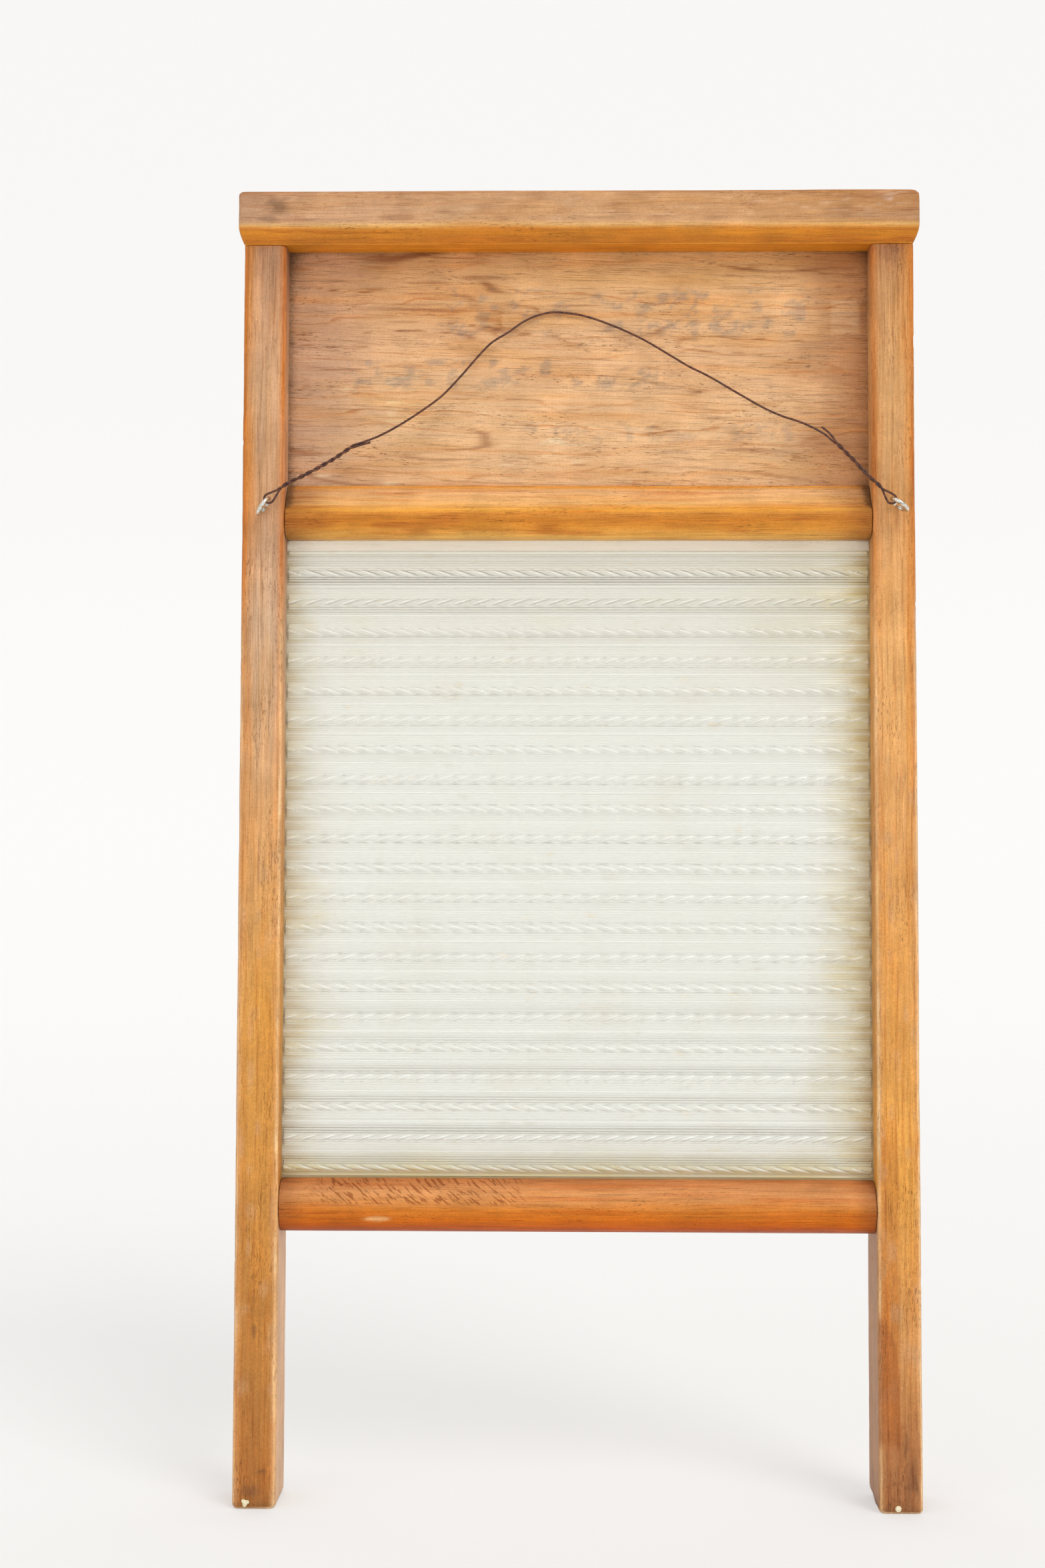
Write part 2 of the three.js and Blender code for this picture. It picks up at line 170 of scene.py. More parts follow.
def make_piece(name, points, faces, material, replaced, slot, body=BOARD, sharp_deg=40, **values):
    """A mesh piece from points in millimetres, with values or colours stored at its points."""
    mesh = bpy.data.meshes.new(name)
    mesh.from_pydata((np.asarray(points) * MM).tolist(), [], [list(map(int, f)) for f in faces])
    mesh.polygons.foreach_set("use_smooth", [True] * len(mesh.polygons))
    mesh.set_sharp_from_angle(angle=math.radians(sharp_deg))
    for key, numbers in values.items():
        numbers = np.asarray(numbers, float)
        if numbers.ndim == 2:
            numbers = np.concatenate([numbers, np.ones((len(numbers), 1))], axis=1)
            mesh.attributes.new(key, "FLOAT_COLOR", "POINT").data.foreach_set(
                "color", numbers.ravel()
            )
        else:
            mesh.attributes.new(key, "FLOAT", "POINT").data.foreach_set("value", numbers)
    mesh.materials.append(material)
    mesh.update()
    piece = bpy.data.objects.new(name, mesh)
    bpy.context.collection.objects.link(piece)
    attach(piece, body)
    if replaced:
        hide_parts(*replaced)
    return piece


def smooth_path(points, spacing):
    """A centripetal Catmull-Rom curve through the points, as points about spacing apart."""

    def between(t, low, high, a, b):
        return ((high - t) * a + (t - low) * b) / (high - low)

    p = np.asarray(points, float)
    p = np.vstack([2 * p[0] - p[1], p, 2 * p[-1] - p[-2]])
    knots = np.concatenate([[0], np.cumsum(np.sqrt(np.linalg.norm(np.diff(p, axis=0), axis=1)))])
    out = []
    for i in range(1, len(p) - 2):
        count = max(1, math.ceil(np.linalg.norm(p[i + 1] - p[i]) / spacing))
        t = np.linspace(knots[i], knots[i + 1], count, endpoint=False)[:, None]
        k = knots[i - 1 : i + 3]
        first = between(t, k[0], k[1], p[i - 1], p[i])
        second = between(t, k[1], k[2], p[i], p[i + 1])
        third = between(t, k[2], k[3], p[i + 1], p[i + 2])
        early, late = between(t, k[0], k[2], first, second), between(t, k[1], k[3], second, third)
        out.append(between(t, k[1], k[2], early, late))
    return np.vstack([*out, p[-2]])


def directions(path):
    step = np.gradient(path, axis=0)
    return step / np.linalg.norm(step, axis=1)[:, None]


def lengths_along(path):
    return np.concatenate([[0], np.cumsum(np.linalg.norm(np.diff(path, axis=0), axis=1))])


def ring_faces(count, sides):
    """Faces that join count rings of points, each with this many sides, and close both ends."""
    faces = []
    for ring, side in itertools.product(range(count - 1), range(sides)):
        after = (side + 1) % sides
        low, high = ring * sides, (ring + 1) * sides
        faces.append((low + side, low + after, high + after, high + side))
    return [*faces, tuple(range(sides))[::-1], tuple(range((count - 1) * sides, count * sides))]


def tube(path, radius, sides, ridge=None):
    """Points and faces of a round tube along a path, with softly rounded ends.

    ridge(ring, angles) gives what to add to the radius at a ring's points, as for a thread.
    """
    path = np.asarray(path, float)
    tangents = directions(path)
    normal = np.cross(tangents[0], (0.3, 0.2, 0.93))
    rings = []
    angles = np.linspace(0, 2 * math.pi, sides, endpoint=False)
    for ring, (centre, tangent) in enumerate(zip(path, tangents)):
        normal = normal - tangent * normal.dot(tangent)
        normal /= np.linalg.norm(normal)
        other = np.cross(tangent, normal)
        reach = radius + (ridge(ring, angles) if ridge else np.zeros(sides))
        around = np.outer(np.cos(angles), normal) + np.outer(np.sin(angles), other)
        rings.append((centre, tangent, around * reach[:, None]))
    first, last = rings[0], rings[-1]
    soft = ((0.45, 0.0), (0.85, 0.2))  # how far in and out an end's rings are, as shares of radius
    points = [first[0] + first[2] * (1 - a) - first[1] * radius * b for a, b in soft[::-1]]
    points += [centre + around for centre, _, around in rings]
    points += [last[0] + last[2] * (1 - a) + last[1] * radius * b for a, b in soft]
    return np.vstack(points), ring_faces(len(points), sides)


# ---- materials ----


class Value:
    """What a node gives out. Sums, differences and products of values are Math nodes."""

    def __init__(self, shader, socket):
        self.shader, self.socket = shader, socket

    def __add__(self, other):
        return self.shader.math("ADD", self, other)

    def __radd__(self, other):
        return self.shader.math("ADD", other, self)

    def __sub__(self, other):
        return self.shader.math("SUBTRACT", self, other)

    def __rsub__(self, other):
        return self.shader.math("SUBTRACT", other, self)

    def __mul__(self, other):
        return self.shader.math("MULTIPLY", self, other)


class Shader:
    """A material made of nodes. Most methods give the value of a new node."""

    def __init__(self, name):
        self.material = bpy.data.materials.new(name)
        self.material.use_nodes = True
        self.tree = self.material.node_tree
        self.tree.nodes.clear()
        self.surface = self.node("ShaderNodeBsdfPrincipled")
        output = self.node("ShaderNodeOutputMaterial")
        self.tree.links.new(self.surface.outputs[0], output.inputs["Surface"])
        place = self.node("ShaderNodeTexCoord").outputs["Object"]
        scaled = self.node("ShaderNodeVectorMath", operation="SCALE")
        self.tree.links.new(place, scaled.inputs[0])
        scaled.inputs["Scale"].default_value = 1 / MM
        self.place = Value(self, scaled.outputs[0])
        apart = self.node("ShaderNodeSeparateXYZ")
        self.feed(apart.inputs[0], self.place)
        self.x, self.y, self.z = (Value(self, socket) for socket in apart.outputs)

    def node(self, kind, **settings):
        made = self.tree.nodes.new(kind)
        for key, value in settings.items():
            setattr(made, key, value)
        return made

    def feed(self, socket, value):
        if isinstance(value, Value):
            self.tree.links.new(value.socket, socket)
        else:
            socket.default_value = value

    def set(self, **values):
        for key, value in values.items():
            self.feed(self.surface.inputs[key.replace("_", " ")], value)

    def math(self, operation, *values):
        made = self.node("ShaderNodeMath", operation=operation)
        for socket, value in zip(made.inputs, values):
            self.feed(socket, value)
        return Value(self, made.outputs[0])

    def highest(self, *values):
        return functools.reduce(lambda a, b: self.math("MAXIMUM", a, b), values)

    def vector(self, *values):
        made = self.node("ShaderNodeCombineXYZ")
        for socket, value in zip(made.inputs, values):
            self.feed(socket, value)
        return Value(self, made.outputs[0])

    def noise(self, vector, detail=2.0, roughness=0.5, distortion=0.0):
        made = self.node("ShaderNodeTexNoise")
        numbers = {"Scale": 1.0, "Detail": detail, "Roughness": roughness, "Distortion": distortion}
        for key, value in {"Vector": vector, **numbers}.items():
            self.feed(made.inputs[key], value)
        return Value(self, made.outputs[0])

    def stretched(self, sizes, detail=2.0, roughness=0.5, shift=0.0):
        """Noise whose lumps are about sizes (x, y, z) millimetres."""
        axes = zip((self.x, self.y, self.z), sizes)
        parts = [(axis + shift) * (1 / size) for axis, size in axes]
        return self.noise(self.vector(*parts), detail, roughness)

    def even(self, size, detail=2.0, roughness=0.5, shift=0.0):
        """Noise whose lumps are about size millimetres every way."""
        return self.stretched((size, size, size), detail, roughness, shift)

    def ramp(self, value, low, high):
        """0 below low, 1 above high and a soft turn between them; high may be the smaller one."""
        made = self.node("ShaderNodeMapRange", interpolation_type="SMOOTHSTEP")
        for key, given in (("Value", value), ("From Min", low), ("From Max", high)):
            self.feed(made.inputs[key], given)
        return Value(self, made.outputs[0])

    def mix(self, amount, a, b, way="MIX"):
        made = self.node("ShaderNodeMix", data_type="RGBA", blend_type=way)
        self.feed(made.inputs[0], amount)
        for socket, value in ((made.inputs[6], a), (made.inputs[7], b)):
            self.feed(socket, value if isinstance(value, Value) else (*value, 1))
        return Value(self, made.outputs[2])

    def stored(self, name, what="Fac"):
        return Value(self, self.node("ShaderNodeAttribute", attribute_name=name).outputs[what])

    def bump(self, height, distance_mm, strength=1.0):
        made = self.node("ShaderNodeBump")
        made.inputs["Strength"].default_value = strength
        made.inputs["Distance"].default_value = distance_mm * MM
        self.feed(made.inputs["Height"], height)
        self.tree.links.new(made.outputs[0], self.surface.inputs["Normal"])


SAW_PITCH = 1.7  # millimetres between the marks of the saw
CUT_LEAN, CUT_LONG, CUT_WIDE = math.radians(37), 5.5, 0.95  # cuts across the grain


def wood(name, grain, ring_mm, pith, warp_mm, late=0.5, thin=0.6, flecks=0.62, checks=0.5,
         relief=0.25, sawn=0.0, shine=0.26, fibres=0.95, slope=0.0, varnish=0.0):
    """Old softwood. The mesh stores its worn colour, and the nodes lay its grain, flecks, dirt with
    some painted shade, and scratches over it.

    grain is the axis it runs along, which climbs by slope. Its rings are ring_mm apart round pith
    and wander by warp_mm. late is how dark each ring's late wood is, and thin is how much of the
    ring the pale early wood takes. flecks is higher where they are rarer. checks, sawn and fibres
    say how strong the cracks, the saw's marks and the fibres are, and varnish hides the fibres
    where the wood isn't faded. relief is the depth of its surface in millimetres.
    """
    s = Shader(name)
    s.z = s.z + s.x * slope
    side = s.z if grain == "X" else s.x

    def fibre(long, across, detail=2.0, roughness=0.5, shift=0.0):
        sizes = (long, across, across) if grain == "X" else (across, across, long)
        return s.stretched(sizes, detail, roughness, shift)

    def shade(colour, amount, by):
        """Darkens a colour towards itself times by."""
        return s.mix(amount, colour, s.mix(1.0, colour, by, "MULTIPLY"))

    bend = (fibre(95, 17, 3.0) - 0.5) * warp_mm
    ripple = (fibre(22, 4) - 0.5) * (ring_mm * 0.5)
    away_side, away_deep = side - pith[0], s.y - pith[1]
    radius = s.math("SQRT", away_side * away_side + away_deep * away_deep)
    turn = (radius + bend + ripple) * (1 / ring_mm)
    ring, number = s.math("FRACT", turn), s.math("FLOOR", turn)
    vigour = s.node("ShaderNodeTexWhiteNoise", noise_dimensions="1D")
    s.feed(vigour.inputs["W"], number)
    patchy = s.ramp(fibre(50, 6, 3.0, 0.6, 9.0), 0.3, 0.6)
    strength = (0.25 + Value(s, vigour.outputs["Value"]) * 0.75) * patchy
    late_wood = s.ramp(ring, thin, 0.95) * s.ramp(ring, 1.0, 0.965) * strength
    fine = fibre(11, 0.2, 3.0, 0.7)
    streak = fibre(60, 1.7, 3.0, 0.6, 31.0)
    blotch = s.even(22, 4.0, 0.6)
    mottle = s.even(0.8, 4.0, 0.75)
    speck = s.even(1.6, 5.0, 0.75)
    faded, grime_and_shade = s.stored("faded"), s.stored("grime_and_shade")

    colour = shade(s.stored("tint", "Color"), late_wood * late, (0.72, 0.5, 0.3))
    bare = (1 - varnish) + faded * varnish
    light = 1.03 + (fine - 0.5) * fibres * bare
    light = light * (1.0 + (streak - 0.5) * (0.84 * fibres) * bare)
    light = light * (1.0 + (speck - 0.5) * (1.0 - bare) * 0.9)
    light = light * (0.66 + blotch * 0.68)
    light = light * (0.7 + mottle * 0.6)
    if sawn:
        marks = s.math("SINE", (s.x + blotch * 2.0) * (2 * math.pi / SAW_PITCH))
        light = light + marks * s.ramp(blotch, 0.45, 0.65) * sawn
    colour = s.mix(1.0, colour, s.vector(light, light, light), "MULTIPLY")
    rosy = s.ramp(fibre(34, 3.5, 3.0, 0.6, 77.0), 0.48, 0.72)
    colour = shade(colour, rosy * (0.52 * fibres), (0.98, 0.84, 0.7))
    golden = s.ramp(fibre(70, 8, 3.0, 0.6, 140.0), 0.46, 0.66)
    colour = shade(colour, golden * 0.6, (0.97, 0.87, 0.66))
    pores = s.ramp(fibre(24, 0.34, 3.0, 0.65, 21.0), 0.57, 0.7) * (0.25 + patchy)
    colour = shade(colour, pores * (0.55 * fibres), (0.64, 0.42, 0.27))
    # short dark flecks, and fine checks that run with the grain
    gather = s.ramp(fibre(40, 12, 2.0, 0.5, 12.0), 0.42, 0.68)
    fleck = s.ramp(fibre(3.6, 0.42, 3.0, 0.6, 5.0), flecks, flecks + 0.08) * gather
    check = s.ramp(fibre(19, 0.27, 2.0, 0.55, 54.0), 0.68, 0.74) * s.ramp(blotch, 0.45, 0.6)
    dark = s.highest(fleck * 0.7, check * checks)
    colour = shade(colour, dark, (0.34, 0.2, 0.13))
    # cuts across the grain, leaning like a backslash
    cut_along = s.x * math.cos(CUT_LEAN) - s.z * math.sin(CUT_LEAN)
    cut_across = s.x * math.sin(CUT_LEAN) + s.z * math.cos(CUT_LEAN)
    cut_place = s.vector(cut_along * (1 / CUT_LONG), cut_across * (1 / CUT_WIDE), 3.0)
    cuts = s.ramp(s.noise(cut_place, distortion=0.4), 0.54, 0.64) * s.stored("scuff")
    colour = shade(colour, cuts * 0.8, (0.5, 0.32, 0.22))
    # grime settles by the joints, painted shade is darkened in the same way, and pale dust lies in it
    dirt_and_shade = s.ramp(grime_and_shade + (speck - 0.5) * 0.9, 0.35, 1.0) * 0.75
    colour = s.mix(dirt_and_shade, colour, linear(92, 66, 42) * 0.9)
    chalk = s.ramp(s.even(0.9, 3.0, 0.6, 40.0), 0.70, 0.76) * (0.3 + grime_and_shade * 0.5)
    colour = s.mix(chalk, colour, linear(236, 208, 172))

    rough = 0.36 + faded * 0.34 + (streak - 0.5) * 0.22 + dirt_and_shade * 0.2
    s.set(Base_Color=colour, Roughness=s.math("MINIMUM", rough, 0.95), Specular_IOR_Level=shine)
    height = fine * 0.6 + (late_wood * 0.3 + pores * -0.4)
    height = height + s.highest(dark, cuts) * -1.2 + mottle * 0.35
    s.bump(height, relief, 0.9)
    return s.material


def wire_metal():
    s = Shader("rusty_wire")
    rust = s.even(1.4, 4.0, 0.7)
    patch = s.even(9)
    colour = s.mix(s.ramp(rust, 0.35, 0.7), linear(66, 42, 36), linear(128, 82, 62))
    colour = s.mix(s.ramp(patch, 0.5, 0.75) * 0.5, colour, linear(88, 74, 70))
    s.set(Base_Color=colour, Roughness=0.5 + rust * 0.3, Metallic=0.35)
    s.bump(rust, 0.08)
    return s.material


def zinc():
    s = Shader("zinc_plate")
    cloud = s.even(2.2, 3.0, 0.6)
    drawn = s.stretched((0.4, 3.0, 0.4), 3.0, 0.6)
    colour = s.mix(s.ramp(cloud, 0.45, 0.8), linear(236, 234, 226), linear(150, 143, 128))
    dull = s.ramp(s.stretched((1.1, 1.6, 1.1), 3.0, 0.6, 20.0), 0.5, 0.64)
    colour = s.mix(dull * 0.35, colour, linear(104, 96, 82))
    s.set(Base_Color=colour, Metallic=1.0, Roughness=0.12 + cloud * 0.2)
    s.bump(drawn, 0.03)
    return s.material


def nail_steel():
    s = Shader("nail_steel")
    rust = s.even(1.1, 4.0, 0.7)
    colour = s.mix(s.ramp(rust, 0.4, 0.62), linear(104, 92, 82), linear(118, 68, 42))
    s.set(Base_Color=colour, Metallic=s.ramp(rust, 0.62, 0.4), Roughness=0.4 + rust * 0.4)
    s.bump(rust, 0.15)
    return s.material


def tack_enamel():
    s = Shader("tack_enamel")
    cloud = s.even(0.9, 3.0, 0.6)
    colour = s.mix(s.ramp(cloud, 0.4, 0.75), linear(240, 232, 198), linear(206, 186, 132))
    s.set(Base_Color=colour, Roughness=0.35 + cloud * 0.3)
    s.bump(cloud, 0.08)
    return s.material


WIRE_METAL, ZINC, NAIL_STEEL, TACK_ENAMEL = wire_metal(), zinc(), nail_steel(), tack_enamel()

# ---- the screw eyes and the hanging wire ----

STILE_FRONT = -15.0
EYE = {"ring": 4.3, "wire": 0.95, "shank": 10.0, "stand_off": 0.7, "split_deg": 18.0}
EYES = {"left": (-145.7, 459.1, 56.0), "right": (148.2, 459.7, 144.0)}  # x, z and the ring's tilt
THREAD = {"pitch": 1.3, "height": 0.22}

WIRE_RADIUS, WIRE_SIDES, LOOP_RADIUS = 0.5, 12, 2.2
WIRE_EYE, WIRE_PEAK = (-21.0, 461.8), (-4.1, 554.9)  # y and z of two places on the wire's plane
WIRE_ROUTE = [
    (-139.3, 466.4), (-136.4, 469.1), (-126.3, 474.5), (-113.2, 482.3), (-105, 488),
    (-92.6, 493.3), (-82.7, 499), (-71.9, 506.5), (-63.8, 513), (-54.5, 523.4), (-47, 532.7),
    (-40.5, 539.7), (-33, 544.7), (-25.4, 550.3), (-17.9, 553.7), (-11.2, 554.9), (-2.7, 554.2),
    (4.8, 552.5), (15.8, 548.4), (29.9, 541.6), (43.8, 532.9), (52.2, 527.5), (61, 522.8),
    (76.5, 513.1), (86.9, 506.8), (95.2, 502.8), (104.4, 499.5), (112, 495.6), (118.6, 491),
    (125.5, 483.8), (133.2, 475), (139.6, 468.4), (141.4, 466.2),
]
TWIST_POINTS = 5  # at each end of the route, where the wire is twisted on itself
TAILS = {"left": [(-101, 488.9), (-96.9, 490)], "right": [(117, 494.4), (113.6, 497.4)]}
TWIST_REACH, TWIST_PITCH, UNTWIST = 0.5, 7.8, 5.0

LEAN = (WIRE_PEAK[0] - WIRE_EYE[0]) / (WIRE_PEAK[1] - WIRE_EYE[1])
PLANE_NORMAL = np.array([0, -1, LEAN]) / math.hypot(1, LEAN)


def on_wire_plane(place):
    x, z = place
    return np.array([x, WIRE_EYE[0] + (z - WIRE_EYE[1]) * LEAN, z])


def twist_offset(path, along, twisted):
    """How far a strand lies from the middle of the twist, at each point of a path from the neck."""
    half_turns = 2 * round(twisted / TWIST_PITCH)
    phase = math.pi * half_turns * np.minimum(along, twisted) / twisted
    reach = TWIST_REACH * (1 - smooth_step(along, twisted, twisted + UNTWIST))
    aside = np.cross(PLANE_NORMAL, directions(path))
    return reach[:, None] * (
        np.cos(phase)[:, None] * aside + np.outer(np.sin(phase), PLANE_NORMAL)
    )


def eye_axis(side):
    x, z, tilt = EYES[side]
    tilt = math.radians(tilt)
    return np.array([x, 0, z]), np.array([math.cos(tilt), 0, math.sin(tilt)])


def loop_round(side, start, end):
    """The loop of wire round an eye's ring, from one strand at the neck to the other."""
    centre, in_plane = eye_axis(side)
    hook = centre + in_plane * EYE["ring"]
    hook[1] = WIRE_EYE[0]
    neck = (start + end) / 2
    towards = (neck - hook) / np.linalg.norm(neck - hook)
    across = np.cross(towards, (0, 1, 0))
    across /= np.linalg.norm(across)
    turn = np.linspace(0, math.pi, 9)
    bow = [hook - towards * LOOP_RADIUS * math.sin(a) + across * LOOP_RADIUS * math.cos(a)
           for a in turn]
    shoulder = hook + towards * LOOP_RADIUS * 1.7
    wide = across * LOOP_RADIUS * 0.5
    return [start, shoulder + wide, *bow, shoulder - wide, end]


def make_wire():
    route = [on_wire_plane(p) for p in WIRE_ROUTE]
    ends = {"left": route, "right": route[::-1]}
    middle = smooth_path(route, 0.7)
    shift = np.zeros_like(middle)
    returns = []
    for side, points in ends.items():
        path = middle if side == "left" else middle[::-1]
        along = lengths_along(path)
        twisted = along[np.argmin(np.linalg.norm(path - points[TWIST_POINTS - 1], axis=1))]
        offset = twist_offset(path, along, twisted)
        shift += offset if side == "left" else offset[::-1]
        back = (path - offset)[along <= twisted]
        loop = loop_round(side, path[0] + offset[0], back[0])
        tail = [on_wire_plane(p) for p in TAILS[side]]
        points = [*loop[:-1], *back[::4], *tail]
        shape = tube(smooth_path(points, 0.5), WIRE_RADIUS, WIRE_SIDES)
        returns.append(
            make_piece(f"{side}_wire_loop", *shape, WIRE_METAL, (), "wire_iron", SWINGING))
    strand = middle + shift
    cord = make_piece("hanging_wire_strand", *tube(strand, WIRE_RADIUS, WIRE_SIDES), WIRE_METAL,
                      ("hanging_wire",), "wire_iron", SWINGING)
    return cord, strand, returns


def make_eye(side):
    """A screw eye: a threaded shank that bends into a split ring."""
    centre, in_plane = eye_axis(side)
    ring_y = STILE_FRONT - EYE["stand_off"] - EYE["ring"] - EYE["wire"]
    centre[1] = ring_y
    back = np.array([0, 1.0, 0])
    neck_y = ring_y + EYE["ring"]
    tip_y = STILE_FRONT + EYE["shank"]
    shank = [np.array([centre[0], y, centre[2]]) for y in np.linspace(tip_y, neck_y + 1.4, 5)]
    turns = np.radians(np.linspace(16, 360 - EYE["split_deg"], 24))
    ring = [centre + EYE["ring"] * (back * math.cos(a) - in_plane * math.sin(a)) for a in turns]
    path = smooth_path([*shank, *ring], 0.28)
    depth = path[:, 1] - STILE_FRONT

    def thread(ring_number, angles):
        inside = depth[ring_number]
        if inside < 1.5:
            return np.zeros(len(angles))
        turn = angles + 2 * math.pi * inside / THREAD["pitch"]
        point = np.clip((EYE["shank"] - inside) / 3, 0.15, 1)
        return THREAD["height"] * np.cos(turn) * point - 0.12 - 0.55 * (1 - point)

    return make_piece(f"{side}_eye", *tube(path, EYE["wire"], 16, thread), ZINC,
                      (f"{side}_screw_eye",), "zinc")


eyes = [make_eye(side) for side in EYES]
wire, wire_line, wire_ends = make_wire()
tuple(wire_line[0] * MM)
(wire_line * MM).tolist()

# ---- turned pieces: nails and tacks ----


def lathe(profile, sides, base, direction, swell=None):
    """Turns (radius, height) pairs round an axis and closes both ends. swell scales the radius."""
    direction = np.asarray(direction, float)
    side = np.cross(direction, (0.2, 0.9, 0.4))
    side /= np.linalg.norm(side)
    other = np.cross(direction, side)
    angles = np.linspace(0, 2 * math.pi, sides, endpoint=False)
    round_it = np.outer(np.cos(angles), side) + np.outer(np.sin(angles), other)
    points = []
    for radius, height in profile:
        reach = radius * (swell(angles) if swell else np.ones(sides))
        points.append(base + direction * height + round_it * reach[:, None])
    return np.vstack(points), ring_faces(len(profile), sides)


@functools.cache
def box_mm(node):
    """A node's lowest and highest corners at rest, in millimetres."""
    low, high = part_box(node)
    return np.array(low) / MM, np.array(high) / MM


NAIL = {"shank": 1.1, "head": 2.5, "point": 3.0}


def make_nail(node, seed):
    """A round wire nail with a hammered head, from its tip to its head."""
    low, high = box_mm(node)
    axis = int(np.argmax(high - low))
    outward = np.zeros(3)
    outward[axis] = math.copysign(1, low[axis] + high[axis])
    base = (low + high) / 2
    base[axis] = high[axis] if outward[axis] > 0 else low[axis]
    length = (high - low)[axis]
    head, shank = NAIL["head"], NAIL["shank"]
    profile = [
        (0.12, -length), (shank * 0.55, NAIL["point"] * 0.5 - length), (shank, NAIL["point"] - length),
        (shank, -3.2), (shank + 0.07, -3.0), (shank, -2.8), (shank + 0.07, -2.4), (shank, -2.2),
        (shank, -1.1), (head * 0.9, -0.85), (head, -0.55), (head * 0.97, -0.2), (head * 0.84, -0.04),
        (head * 0.55, 0.0), (head * 0.2, -0.03),
    ]
    points, faces = lathe(profile, 20, base, outward)
    hit = noise(points, (1.3, 1.3, 1.3), seed) * 0.05 + 0.04
    near_head = (points - base) @ outward > -0.5
    points += np.outer(np.where(near_head, hit, 0), outward)
    make_piece(f"{node}_forged", points, faces, NAIL_STEEL, (node,), "nail_steel")


for number, node in enumerate(sorted(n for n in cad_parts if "_nail_" in n)):
    make_nail(node, 100 + number)


def make_tack(side, lobes):
    """An enamelled tack. Its head has this many lobes, or is round."""
    node = f"{side}_foot_tack"
    low, high = box_mm(node)
    base = (low + high) / 2
    base[1] = STILE_FRONT
    head = (high[0] - low[0]) / 2
    profile = [(0.1, -8.0), (0.5, -7.0), (0.6, -0.4), (head * 0.93, -0.05), (head, 0.12),
               (head * 0.96, 0.32), (head * 0.8, 0.55), (head * 0.5, 0.72), (head * 0.15, 0.78)]
    lobed = (lambda a: 0.82 + 0.18 * np.cos(lobes * a + 0.9)) if lobes else None
    points, faces = lathe(profile, 30, base, (0, -1, 0), lobed)
    make_piece(f"{side}_tack", points, faces, TACK_ENAMEL, (node,), "tack_enamel")


make_tack("left", 3)
make_tack("right", 0)

# ---- wooden pieces ----
#
# A piece's shape comes first, and then its colours function gives what the wood's nodes read at
# each point: its worn colour, with some painted light and shade, and from 0 to 1 how faded, how
# dark with grime and painted shade, and how scuffed it is.

GROOVE_HALF, GROOVE_DEPTH = 3.5, 6.0
WALL = 0.05  # half the width of the grid cell that makes a groove's wall
RAIL_ENDS = ((126.0, 146.0), (449.0, 467.0))  # heights where the rails' rounded fronts meet a stile
OPENING = 137.0  # half the space between the stiles
BOTTOM_RADIUS, BOTTOM_OUT = 12.25, 2.75  # its round front and back, and how far out they are centred


def groove_lines(half=GROOVE_HALF):
    return [s * (half + w) for s in (-1, 1) for w in (-WALL, WALL)]


def round_corners(a, b, half_a, half_b, radius):
    """Moves points of a rectangle, corner by corner, onto the same rectangle with round corners."""
    over_a, over_b = np.abs(a) - (half_a - radius), np.abs(b) - (half_b - radius)
    corner = (over_a > 0) & (over_b > 0)
    reach = np.maximum(over_a, over_b) / np.maximum(np.hypot(over_a, over_b), 1e-9)
    new_a = np.sign(a) * (half_a - radius + over_a * reach)
    new_b = np.sign(b) * (half_b - radius + over_b * reach)
    return np.where(corner, new_a, a), np.where(corner, new_b, b)


def inset(height, radius):
    """How far a rounded edge of this radius lies in, at a height above its end."""
    left = np.clip(radius - height, 0, radius)
    return radius - np.sqrt(radius**2 - left**2)


def window(value, low, high, soft):
    """1 from low to high, and 0 beyond a soft edge on both sides."""
    return smooth_step(value, low - soft, low) * smooth_step(value, high + soft, high)


def edge_of(normals):
    """1 where a surface turns between two faces, and 0 on a face."""
    return np.clip((1 - np.abs(normals).max(axis=1)) / 0.25, 0, 1)


def weather(points, quads, amount, still):
    """Moves the surface out by amount, which wears it away where it is less than 0."""
    amount = np.where(still, 0, np.clip(amount, -1.4, 0.06))
    return points + normals_of(points, quads) * amount[:, None]


def tones(colours, at):
    """A colour that changes smoothly along a line. colours gives it at some places."""
    table = np.array([linear(*c) for c in colours.values()])
    return np.stack([np.interp(at, tuple(colours), table[:, k]) for k in range(3)], axis=1)


STILE_WOOD = wood("stile_wood", "Z", 2.3, (-3.0, 60.0), 6.0, late=0.55, thin=0.45, flecks=0.585,
                  checks=0.75, varnish=0.45)
STILES = {  # with how much the foot's back edge is worn, the outer edge rubbed and the top faded
    "left": {
        "seed": 11, "back_wear": 1.4, "outer_rub": 0.9, "faded": 0.9, "leg_inside": (218, 172, 126),
        "tones": {  # by height
            0: (152, 98, 46), 14: (178, 113, 50), 80: (192, 130, 60), 150: (202, 139, 63),
            230: (218, 156, 74), 310: (220, 165, 108), 395: (217, 180, 146), 460: (200, 154, 118),
            520: (213, 167, 126), 560: (202, 153, 115), 585: (163, 119, 88)},
        "stains": (  # how far in and up each one's middle is, and half its width and height
            (3.0, 17.0, 2.6, 1.0), (-1.0, 8.0, 6.0, 3.5), (-0.5, 80.0, 1.4, 3.0),
            (-4.5, 126.0, 0.6, 2.5)),
    },
    "right": {
        # the right leg's inner side is darker: painted shade
        "seed": 37, "back_wear": 5.2, "outer_rub": 1.25, "faded": 0.6, "leg_inside": (160, 103, 38),
        "tones": {
            0: (121, 76, 43), 14: (160, 104, 61), 40: (186, 124, 72), 78: (211, 150, 86),
            100: (216, 151, 80), 150: (231, 165, 76), 230: (225, 161, 86), 310: (224, 164, 98),
            390: (235, 177, 110), 450: (208, 153, 99), 525: (220, 167, 110), 560: (202, 148, 96),
            585: (160, 108, 70)},
        "stains": (
            (-3.0, 33.0, 1.3, 6.0), (-5.0, 17.0, 4.5, 11.0), (2.8, 104.0, 0.7, 3.0)),
    },
}
TONGUE = {38: 0.5, 60: 0.0, 80: 3.5, 90: 9.0}  # by height, how far in the right leg's stain starts


